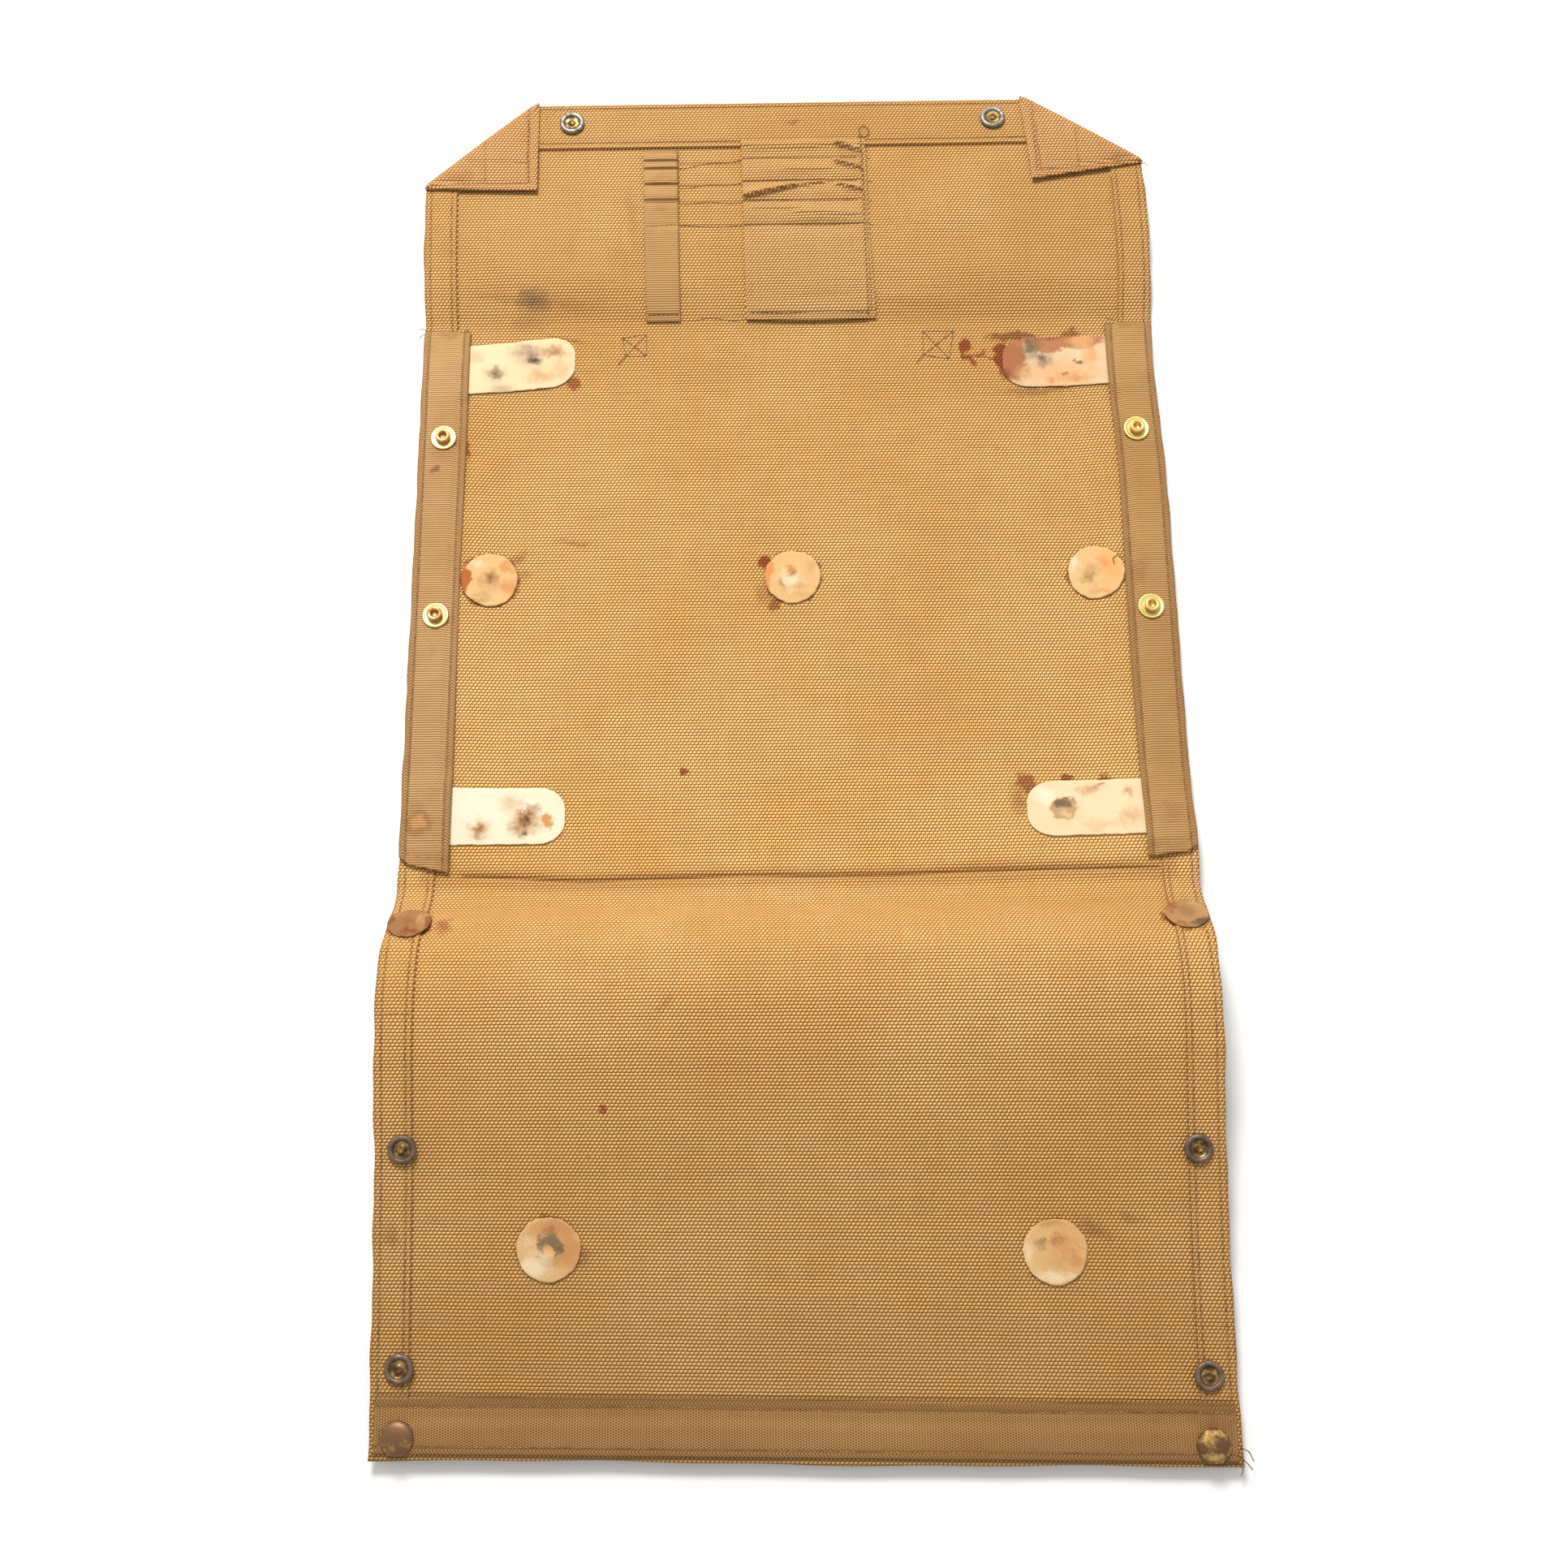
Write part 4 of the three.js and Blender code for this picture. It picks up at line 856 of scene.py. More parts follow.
left_tones = (seen(192, 152, 104), seen(181, 139, 90), seen(167, 124, 74), seen(124, 87, 47))
right_tones = (seen(184, 143, 91), seen(174, 131, 79), seen(160, 118, 66), seen(118, 83, 43))
TAPE_SHADE_LINES = ((-8.9, 1.0, 0.45), (8.9, 1.0, 0.45), (-11.9, 0.9, 0.4), (11.9, 0.9, 0.4))
ring_mark = (-181, 396, 7.6, 7.0, 0, 0.3, 0.5, BROWN, 0.5)
left_tape_marks_and_shade = (
    (-181, 212, 3, 3, 0, 0.6, 0.6, GLUE, 0.6), (-177.5, 201, 9, 9, 0, 0.5, 0.5, BROWN, 0.25),
    ring_mark, (-181, 396, 4, 4, 0, 0.5, 0.5, seen(196, 146, 94), 0.7),
    (-182, 388, 6, 4, 0, 1.0, 0.8, BROWN, 0.4), (-178, 134, 12, 4, 0, 1.0, 0.8, BROWN, 0.5),
    # The brown band at along 414, by the tape's lower end, is painted shade of the rumpled fold
    # there, with some soiling.
    (-178, 414, 14, 6, 0, 1.0, 0.6, BROWN, 0.35),
)
right_tape_marks_and_shade = (
    (178, 134, 12, 5, 0, 1.0, 0.8, BROWN, 0.5), (172, 272, 7, 10, 0, 1.0, 0.8, BROWN, 0.5),
    # The brown band at along 414, by the tape's lower end, is painted shade of its rumpled end,
    # with some soiling.
    (178, 414, 14, 6, 0, 1.0, 0.6, BROWN, 0.35), (180, 396, 8, 8, 0, 0.8, 0.6, BROWN, 0.25),
)
tapes = []
for name, side, tones, mark_list in (
    ("left", -1, left_tones, left_tape_marks_and_shade), ("right", 1, right_tones, right_tape_marks_and_shade),
):
    tape = side_tape(f"side_tape_{name}_webbing", side)
    tape.data.materials.append(
        webbing_finish(f"webbing {name}", tones, 178.2, mark_list, TAPE_SHADE_LINES, gap=0.75)
    )
    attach(tape, "root")
    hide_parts(f"side_tape_{name}")
    tapes.append(tape)

FRONT_TAPE_LOW = SHEET_LENGTH - 2.7
FRONT_TAPE_TOP = FRONT_TAPE_LOW - TAPE_WIDTH
front_ends = HALF - 2.5
inner_columns = [-front_ends + 1, -173, -171, 171, 173, front_ends - 1]
front_columns = spaced(with_rims(-front_ends, inner_columns, front_ends), 3.4)


def front_station(i, j, top):
    d = tape_across[j]
    x, along = front_columns[i], FRONT_TAPE_TOP + d
    low = GAP + CANVAS + (HEM - CANVAS) * front_doubled(x, along)
    edge = np.minimum(np.minimum(d, TAPE_WIDTH - d), front_ends - np.abs(x))
    half = 0.5 * TAPE * rolled(edge, 0.5)
    seam = sum(sunk(d - row, 0.25, 0.6) for row in FRONT_TAPE_ROWS)
    ripple = 0.15 * np.maximum(np.sin(x / 2.6), 0) * np.exp(-((d - 1.5) / 2) ** 2)
    waver = 0.6 * np.sin(x / 41) * (1 - d / TAPE_WIDTH)
    return x, along + waver, low + 0.5 * TAPE + np.where(top, half - seam, -half) + ripple


front_tape = cut_and_lay("front_tape_webbing", len(front_columns), len(tape_across), front_station)
front_soil = (
    (-150, 690, 60, 8, 0, 1.0, 0.9, BROWN, 0.3), (60, 692, 80, 6, 0, 1.0, 0.9, BROWN, 0.25),
    (178, 680, 12, 10, 0, 1.0, 0.9, GLUE, 0.35), (-30, 676, 70, 5, 0, 1.0, 0.9, BROWN, 0.2),
)
front_tones = (seen(168, 128, 79), seen(159, 118, 70), seen(146, 107, 61), seen(108, 75, 40))
front_shade_lines = ((-7.9, 1.0, 0.5), (8.7, 1.0, 0.5), (-11.8, 1.1, 0.6), (11.8, 1.1, 0.5))
front_tape.data.materials.append(
    webbing_finish("webbing front", front_tones, 684.4, front_soil, front_shade_lines, "across", gap=0.8)
)
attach(front_tape, "root")
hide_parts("front_tape")

# ---------------------------------------------------------------------------------------
# The pencil tape. A narrow cotton tape down the flap, sewn across in rows so that it stands
# up in loops that hold pencils, with its lower end turned under.
PENCIL_X, PENCIL_WIDTH, PENCIL_TOP = -65.6, 18.0, 29.6
PENCIL_END = FLAP - 2
pencil_rows = (
    (0, 0), (0.01, 0.5), (0.02, 0.1), (0.03, 0.6), (0.06, 0.85), (0.07, 0.75), (0.078, 0.05),
    (0.09, 0.7), (0.118, 0.8), (0.128, 0.05), (0.15, 0.8), (0.2, 1.05), (0.216, 0.95),
    (0.226, 0.08), (0.25, 0.9), (0.3, 1.15), (0.314, 1.05), (0.324, 0.08), (0.36, 0.35),
    (0.44, 0.12), (0.464, 0), (0.5, 0.3), (0.6, 0.25), (0.8, 0.15), (0.93, 0.2), (1, 0.1),
)
pencil_at, pencil_up = np.array(pencil_rows).T
pencil_steps = np.array([0, 0.12, 0.4, 1, 2.2, 4, 6.5, 9, 11.5, 14, 15.8, 17, 17.6, 17.88, 18])
pencil_seam = [PENCIL_END - 4.4, PENCIL_END - 3.6]
pencil_places = spaced(with_rims(PENCIL_TOP, pencil_seam, PENCIL_END), 0.8)


def flap_seat(along):
    """Where something lies that is sewn to the flap, over its hem and below it."""
    return CANVAS + (HEM - CANVAS) * (1 - ramp(along, FLAP_HEM, FLAP_HEM + 2.2)) + GAP


def smooth_rows(at, places, values):
    """Values that ease from each row to the next."""
    i = np.clip(np.searchsorted(places, at) - 1, 0, len(places) - 2)
    t = np.clip((at - places[i]) / (places[i + 1] - places[i]), 0, 1)
    return values[i] + (values[i + 1] - values[i]) * t * t * (3 - 2 * t)


def pencil_station(i, j, top):
    d, along = pencil_steps[i], pencil_places[j]
    share = (along - PENCIL_TOP) / (PENCIL_END - PENCIL_TOP)
    arch = 0.85 + 0.15 * np.sin(np.pi * d / PENCIL_WIDTH)
    rise = 2.3 * smooth_rows(share, pencil_at, pencil_up) * arch
    half = 0.5 * TAPE * rolled(from_rim(d, PENCIL_WIDTH, along, PENCIL_TOP, PENCIL_END), 0.5)
    seam = sunk(along - PENCIL_END + 4, 0.3, 0.5)
    x = PENCIL_X + d - PENCIL_WIDTH / 2 + 0.36 * (1 - share)
    return x, along, flap_seat(along) + rise + 0.5 * TAPE + np.where(top, half - seam, -half)


pencil_tape = cut_and_lay(
    "pencil_tape_webbing", len(pencil_steps), len(pencil_places), pencil_station,
)
pencil_tones = (seen(179, 139, 90), seen(169, 129, 78), seen(156, 116, 68), seen(117, 82, 44))
pencil_soil = (
    (-65.6, 66, 7, 4, 0, 1.0, 0.7, BROWN, 0.3), (-65.6, 48, 10, 3, 0, 1.0, 0.7, BROWN, 0.25),
)
pencil_shade_lines = ((-8.9, 0.7, 0.4), (8.9, 0.7, 0.4))
pencil_tape.data.materials.append(
    webbing_finish(
        "webbing pencil", pencil_tones, 65.6, pencil_soil, pencil_shade_lines, half_width=30.0, gap=0.5,
    )
)
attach(pencil_tape, "root")
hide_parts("pencil_tape")

# ---------------------------------------------------------------------------------------
# The tool pocket. A smoother and greener cotton than the duck, gathered between four sewn
# rows, with a long pleat that slants up from its left side and short ones at its hemmed
# right edge. Below the rows it hangs flat to a turned lower edge.
POCKET_X, POCKET_WIDTH, POCKET_TOP = 10.8, 66.5, 25.4
POCKET_END, POCKET_HALF = FLAP - 2.4, 0.45
pocket_rows = (35.6, 49.6, 61.3, 75.4)
pocket_x = spaced([0, 0.12, 0.4, 1, 62, 62.8, 63.6, 64.4, 65.5, 66.1, 66.38, 66.5], 1.1)
pocket_seams = [*pocket_rows, POCKET_END - 4.6, POCKET_END - 3.8]
pocket_y = spaced(with_rims(POCKET_TOP, pocket_seams, POCKET_END), 0.55)
# Each pleat is a ridge from one place to another, steep on its near side: x, along, x, along,
# height, and width of its far slope
pleats = (
    (-24, 59.6, 8, 52.6, 2.7, 3.4), (8, 52.6, 22, 50.8, 1.6, 2.6), (27, 27.6, 42, 32.6, 2.3, 2.2),
    (26, 38.4, 42, 43.4, 2.2, 2.4), (27, 52.2, 42, 56.4, 2.2, 2.2), (-20, 30.4, 20, 30.0, 0.6, 2.4),
    (4, 68.8, 40, 70.2, 0.7, 2.6), (-20, 66.4, 10, 66.0, 0.6, 2.2), (0, 42.4, 26, 42.8, 0.6, 2.2),
    (-22, 121.5, 44, 123.2, 0.35, 3.0),
)


def pleated(x, along):
    """Height of the pleats over the pocket's cloth."""
    up = 0
    for x0, a0, x1, a1, height, width in pleats:
        length = math.hypot(x1 - x0, a1 - a0)
        t = ((x - x0) * (x1 - x0) + (along - a0) * (a1 - a0)) / length**2
        off = ((along - a0) * (x1 - x0) - (x - x0) * (a1 - a0)) / length
        fade = ramp(t, -0.08, 0.12) * (1 - ramp(t, 0.88, 1.1))
        ridge = np.where(off < 0, np.exp(-((off / width) ** 2)), np.exp(-((off / 0.5) ** 2)))
        up = np.maximum(up, height * fade * ridge)
    return up


def pocket_station(i, j, top):
    d, along = pocket_x[i], pocket_y[j]
    x = POCKET_X - POCKET_WIDTH / 2 + d
    gaps = np.array([POCKET_TOP - 6, *pocket_rows])
    band = np.clip(np.searchsorted(gaps, along) - 1, 0, len(gaps) - 2)
    t = np.clip((along - gaps[band]) / (gaps[band + 1] - gaps[band]), 0, 1)
    between = np.where(along < 75.4, np.sin(np.pi * t), 0)
    puff = np.array([0.7, 1.3, 1.0, 1.4])[band] * (0.8 + 0.2 * np.sin(x / 7.0 + 1.9 * band))
    hang = 0.9 * ramp(along, 75.4, 84) * (0.8 + 0.2 * np.sin(x / 11.0))
    held = 1 - ramp(d, POCKET_WIDTH - 5, POCKET_WIDTH - 2)
    flatter = 1 - 0.75 * ramp(d, POCKET_WIDTH - 4, POCKET_WIDTH - 1.5)
    up = (puff * between + hang) * held + pleated(x, along) * flatter
    for row in pocket_rows:
        up = up * (1 - np.exp(-(((along - row) / 0.8) ** 2)))
    side_hem = ramp(d, POCKET_WIDTH - 5.2, POCKET_WIDTH - 4.6)
    hem = 0.35 * (side_hem + ramp(along, POCKET_END - 5.4, POCKET_END - 4.8))
    half = POCKET_HALF * rolled(from_rim(d, POCKET_WIDTH, along, POCKET_TOP, POCKET_END), 0.5)
    seam = sunk(d - (POCKET_WIDTH - 2.6), 0.3, 0.5) + sunk(along - POCKET_END + 4.2, 0.3, 0.5)
    face = half - np.minimum(seam, 0.4) + np.minimum(hem, 0.4)
    out = flap_seat(along) + up + POCKET_HALF + np.where(top, face, -half)
    down = (along - POCKET_TOP) / (POCKET_END - POCKET_TOP)
    bow = 0.9 * np.sin(np.pi * down) * (d / POCKET_WIDTH - 0.5)
    sag = 1.0 * np.sin(np.pi * d / POCKET_WIDTH) * ramp(along, 90, POCKET_END)
    return x - bow + 1.5 * (d / POCKET_WIDTH) * ramp(along, 60, POCKET_END), along + sag, out


pocket = cut_and_lay("tool_pocket_cloth", len(pocket_x), len(pocket_y), pocket_station)

# Fine twill: close diagonal ribs
twill, given, result = shader_group(
    "twill", [("Pattern", "Vector", None), ("Pitch", "Float", 0.0007), ("Slope", "Float", 0.8)],
    ["Height", "Gap"],
)
spot = node(twill, "SeparateXYZ", {0: given["Pattern"]})
slanted = (spot[0] * given["Slope"] + spot[1]) / given["Pitch"]
crossed = maths("SINE", spot[0] / given["Pitch"] * math.tau)
ribbed = maths("SINE", slanted * math.tau) + crossed * 0.3
join(eased(ribbed, -1.0, 1.0), result["Height"])
# The gap mask marks the hollows between ribs, where the finish paints shade.
join(eased(ribbed, 0.1, -1.1), result["Gap"])


def twill_finish(name, tone, marks, pitch=0.7, slope=0.8, gap=0.4, depth=0.0002):
    """Fine twilled cotton with its wear and stains."""
    material, tree, shader = new_finish(name, rough=0.88)
    pattern = pattern_of(tree)
    weave = placed(twill, {"Pattern": pattern, "Pitch": pitch * MM, "Slope": slope})
    worn, colour = aged(pattern, tone)
    # Painted shade in the twill's gaps.
    colour = mixed(weave["Gap"] * gap, colour, tone[3])
    colour = with_stains_and_shade(pattern, colour, marks)
    join(colour, shader.inputs["Base Color"])
    height = weave["Height"] + worn["Smudges"] * 0.8
    raised(shader, height, depth, 0.8)
    return material


pocket_tones = (seen(208, 161, 103), seen(198, 152, 94), seen(184, 139, 83), seen(128, 91, 48))
# Painted shadow colour for the pleats. Of the pocket's marks, the first five are painted shadow
# under the pleats' ridges, and the thin brown band at along 73.4 is painted shade at the foot of
# the lowest gathered band.
FOLD_SHADE = seen(104, 74, 42)
pocket_marks_and_shade = (
    (-8, 57.6, 20, 1.0, 11, 1.0, 0.05, FOLD_SHADE, 0.4), (12, 53.4, 9, 0.7, 7, 1.0, 0.05, FOLD_SHADE, 0.25),
    (34, 31.2, 9, 1.2, -17, 1.0, 0.05, FOLD_SHADE, 0.4), (34, 42.4, 9, 1.2, -17, 1.0, 0.05, FOLD_SHADE, 0.4),
    (34, 55.9, 9, 1.2, -15, 1.0, 0.05, FOLD_SHADE, 0.35), (34, 38, 12, 6, 16, 1.0, 0.5, BROWN, 0.3),
    (16, 73.4, 28, 2.4, 1, 1.0, 0.6, BROWN, 0.4), (10, 46, 24, 3, 0, 1.0, 0.6, BROWN, 0.3),
    (15, 114, 30, 2.6, 2, 1.0, 0.6, BROWN, 0.25),
)
# Painted shade along the pocket's sewn rows and hems.
pocket_shade_lines = (
    ("x", 41.6, 0.8, 0.5, 26, 126), ("along", 123.4, 0.9, 0.25, -22, 44),
    ("along", 35.6, 1.0, 0.5, -22, 42), ("along", 49.6, 1.0, 0.55, -22, 42),
    ("along", 61.3, 1.0, 0.5, -22, 42), ("along", 75.4, 1.0, 0.6, -22, 44),
)
pocket.data.materials.append(
    duck_finish(
        "pocket cloth", pocket_tones, pocket_marks_and_shade, pocket_shade_lines, crossing=1.9, row=1.45,
        relief=0.0009, gap=0.9,
    )
)
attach(pocket, "root")
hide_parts("tool_pocket")

# ---------------------------------------------------------------------------------------
# The cotton tabs. Strips of white cotton, glued to the canvas with their outer ends under the
# side tapes and their inner ends cut round. They cover the backs of rivets on the outside,
# which have pressed rings and rust through them.
TAB_INNER = HALF - 79
TAB_OUTER = HALF - SIDE_HEM - 0.5 - 3.4 + 1
tab_steps = np.concatenate(
    [[0, 0.2, 0.6, 1.2, 2.2, 3.6, 5.4, 7.6, 10, 12.6], np.linspace(15.6, TAB_OUTER - TAB_INNER, 16)]
)
tab_rows = np.array(
    [
        -1, -0.99, -0.965, -0.92, -0.85, -0.75, -0.62, -0.48, -0.32, -0.16, 0, 0.16, 0.32, 0.48,
        0.62, 0.75, 0.85, 0.92, 0.965, 0.99, 1,
    ]
)


def cotton_tab(name, side, centre, tilt, bumps):
    def station(i, j, top):
        k = i if side > 0 else len(tab_steps) - 1 - i
        distance = tab_steps[k]
        share = distance / (TAB_OUTER - TAB_INNER)
        end = np.clip(distance / 13.0, 0, 1)
        half = 14 * (0.22 + 0.78 * np.sqrt(1 - (1 - end) ** 2))
        ragged = 0.22 * np.sin(distance * 1.9 + 2 * side) * np.sin(distance * 0.73 + centre)
        y = tab_rows[j] * (half + ragged * np.abs(tab_rows[j]))
        x = side * (TAB_INNER + distance)
        along = centre - tilt * (1 - share) + y
        swell = 0
        for bx, ba, radius, height in bumps:
            r = np.hypot(x - bx, along - ba) / radius
            swell = swell + height * np.exp(-(r**4)) - 0.35 * height * np.exp(-((r / 0.5) ** 2))
        edge = np.minimum(half - np.abs(y), distance)
        thick = 0.5 * 0.7 * rolled(edge, 0.35)
        wave = 0.25 * np.maximum(np.sin(distance / 6 + centre), 0)
        low = CANVAS + GAP + np.maximum(swell, 0) * 0.8 + wave
        return x, along, low + 0.35 + np.where(top, thick, -thick)

    return cut_and_lay(name, len(tab_steps), len(tab_rows), station)


COTTON = (seen(218, 196, 160), seen(210, 184, 144), seen(198, 164, 120), seen(178, 144, 102))
WHITE_COTTON = (seen(222, 215, 193), seen(216, 205, 177), seen(204, 186, 150), seen(190, 172, 136))
GREY, ORANGE = seen(140, 114, 94), seen(190, 128, 72)
CHAR, TAN = seen(72, 54, 42), seen(180, 134, 90)
tabs = (
    (
        "tab_left_upper", -1, TAB_UPPER + 1.6, 6.0, ((-133, 148, 6.5, 0.8), (-153, 156, 5.5, 0.5)),
        COTTON,
        (
            (-136, 145, 13, 8.5, -8, 1.0, 0.7, GREY, 0.85),
            (-133, 149, 5, 4.6, 0, 1.0, 0.7, CHAR, 0.95),
            (-123, 144, 10, 5.4, -14, 1.0, 0.8, BROWN, 0.85),
            (-129, 158, 14, 6, 0, 1.0, 0.9, TAN, 0.75), (-153, 156, 9, 7, 0, 1.0, 0.9, GREY, 0.6),
            (-153, 156, 4.4, 3.4, 0, 1.0, 0.8, CHAR, 0.75),
            (-149, 166, 11, 5, 0, 1.0, 0.9, GREY, 0.6), (-163, 147, 8, 6, 0, 1.0, 1.0, TAN, 0.45),
            (-118, 154, 7, 9, 30, 1.0, 0.9, TAN, 0.5),
        ),
    ),
    (
        "tab_right_upper", 1, TAB_UPPER, 0.0, ((133, 152, 6.5, 0.9), (154, 156, 4, 0.4)),
        (seen(203, 178, 144), seen(195, 167, 130), seen(184, 149, 108), seen(166, 131, 92)),
        (
            (142, 160, 34, 12, -4, 1.0, 0.5, seen(206, 156, 108), 0.8),
            (114, 150, 11, 18, 14, 0.3, 0.3, seen(148, 92, 58), 0.97),
            (138, 140, 34, 7.4, -3, 0.3, 0.5, seen(158, 102, 64), 0.95),
            (134, 146, 9, 3.4, -8, 0.6, 0.6, seen(158, 102, 64), 0.9),
            (158, 150, 7, 11, 0, 0.9, 0.6, seen(198, 146, 98), 0.8),
            (137, 164, 3, 2, 0, 0.8, 0.6, ORANGE, 0.9),
            (151, 163.6, 3.4, 1.8, 0, 0.8, 0.6, ORANGE, 0.9),
            (145, 160, 1.6, 1.4, 0, 0.8, 0.6, BROWN, 0.9),
            (120, 139, 12, 3, 0, 0.8, 0.5, seen(96, 54, 32), 0.8),
            (140, 139.5, 16, 2.4, 0, 0.9, 0.5, seen(110, 62, 38), 0.6),
            (112, 160, 4, 6, -20, 0.8, 0.5, seen(96, 54, 32), 0.7),
            (153, 141, 9, 7, 0, 0.6, 0.7, seen(198, 146, 96), 0.75),
            (127, 146, 7, 9, -20, 0.9, 0.7, SOOT, 0.9), (133, 152, 7, 7, 0, 0.8, 0.9, GREY, 0.8),
            (133, 151, 3, 3, 0, 0.9, 0.9, CHAR, 0.6), (152, 155, 3.2, 3, 0, 0.8, 0.6, CHAR, 0.9),
            (149, 152.6, 2, 2, 0, 0.8, 0.6, CHAR, 0.8), (148, 163, 18, 5, 0, 1.0, 0.9, TAN, 0.7),
            (160, 152, 7, 9, 0, 1.0, 0.9, ORANGE, 0.4), (122, 160, 8, 6, 0, 1.0, 0.9, TAN, 0.7),
        ),
    ),
    (
        "tab_left_lower", -1, TAB_LOWER, 0.0, ((-130, 395, 6.5, 0.9), (-152, 399, 5, 0.6)),
        WHITE_COTTON,
        (
            (-130, 395, 12, 10, 0, 1.0, 0.9, TAN, 0.85),
            (-130, 395, 6.5, 6, 0, 1.0, 0.9, BROWN, 0.85),
            (-130, 395, 2.6, 4.4, 20, 0.9, 0.7, CHAR, 0.9),
            (-120, 396, 3.6, 4, 0, 0.6, 0.6, ORANGE, 0.95),
            (-153, 399, 8, 8, 0, 1.0, 0.9, TAN, 0.8), (-153, 399, 3.6, 4, 0, 1.0, 0.8, BROWN, 0.9),
            (-138, 386, 11, 6, 0, 1.0, 0.9, TAN, 0.5),
            (-131, 401.6, 2.4, 1.6, 20, 0.8, 0.5, CHAR, 0.8),
            (-133, 399, 8, 7, 0, 1.0, 0.8, BROWN, 0.6), (-126, 390, 6, 5, 0, 1.0, 0.8, BROWN, 0.5),
            (-153, 402, 5, 5, 0, 1.0, 0.8, BROWN, 0.6),
        ),
    ),
    (
        "tab_right_lower", 1, TAB_LOWER, 0.0, ((129, 394, 6.8, 1.0), (153, 397, 4, 0.2)), COTTON,
        (
            (129, 394, 7.2, 6.6, 0, 0.2, 0.35, seen(168, 128, 86), 0.85),
            (128, 390.6, 5.4, 3.6, 0, 0.6, 0.6, SOOT, 0.9),
            (130, 397, 4, 3, 0, 0.8, 0.8, COTTON[1], 0.6), (142, 384, 9, 5, 10, 1.0, 0.9, TAN, 0.8),
            (160, 386, 3.6, 5, 0, 1.0, 0.9, BROWN, 0.6), (160, 399, 10, 8, 0, 1.0, 0.9, TAN, 0.6),
            (120, 386, 9, 7, 0, 1.0, 0.7, WHITE_COTTON[0], 0.7),
            (147, 381, 4, 2, 30, 0.8, 0.9, CHAR, 0.5), (146, 402, 12, 5, 0, 1.0, 0.9, TAN, 0.35),
        ),
    ),
)
for name, side, centre, tilt, bumps, tone, mark_list in tabs:
    tab = cotton_tab(f"{name}_cotton", side, centre, tilt, bumps)
    tab.data.materials.append(twill_finish(name, tone, mark_list, pitch=0.62, slope=0.6, gap=0.22))
    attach(tab, "root")
    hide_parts(name)

# ---------------------------------------------------------------------------------------
# The round patches. Discs of the same cotton, cut by hand and glued over the backs of
# fasteners. Five lie on the canvas, and two smaller and browner ones lie on the side hems
# just past the lower crease.
patch_rings = (0, 0.12, 0.24, 0.36, 0.48, 0.6, 0.72, 0.83, 0.92, 0.97, 1)


def round_patch(name, x, along, diameter, seat, swell, dish):
    disc = bmesh.new()
    path = [disc.verts.new((r, 0, 0)) for r in patch_rings]
    path += [disc.verts.new((r, 0, 1)) for r in patch_rings[::-1]]
    for near, far in zip(path, path[1:]):
        disc.edges.new((near, far))
    bmesh.ops.spin(
        disc, geom=disc.verts[:] + disc.edges[:], axis=(0, 0, 1), cent=(0, 0, 0), angle=math.tau,
        steps=72, use_merge=True,
    )
    bmesh.ops.remove_doubles(disc, verts=disc.verts[:], dist=1e-5)
    bmesh.ops.recalc_face_normals(disc, faces=disc.faces[:])
    piece = finished(disc, name)
    co = points_of(piece.data)
    radius, angle = np.hypot(co[:, 0], co[:, 1]), np.arctan2(co[:, 1], co[:, 0])
    cut = 1 + 0.012 * np.sin(3 * angle + x) + 0.01 * np.sin(7 * angle + along)
    cut = cut + 0.008 * np.sin(17 * angle + x)
    spread = 0.5 * diameter * radius * cut
    px, pa = x + spread * np.cos(angle), along - spread * np.sin(angle)
    lift = swell * np.exp(-((spread / 6.2) ** 4)) - dish * np.exp(-((spread / 2.6) ** 2))
    lift = np.maximum(lift, 0) + 0.15 * np.maximum(np.sin(2 * angle + x), 0) * ramp(radius, 0.7, 1)
    half = 0.35 * rolled(0.5 * diameter * (1 - radius), 0.35)
    out = seat + GAP + 0.35 + lift + np.where(co[:, 2] > 0.5, half, -half)
    lay_down(piece.data, px, pa, out, sharp=60)
    return piece


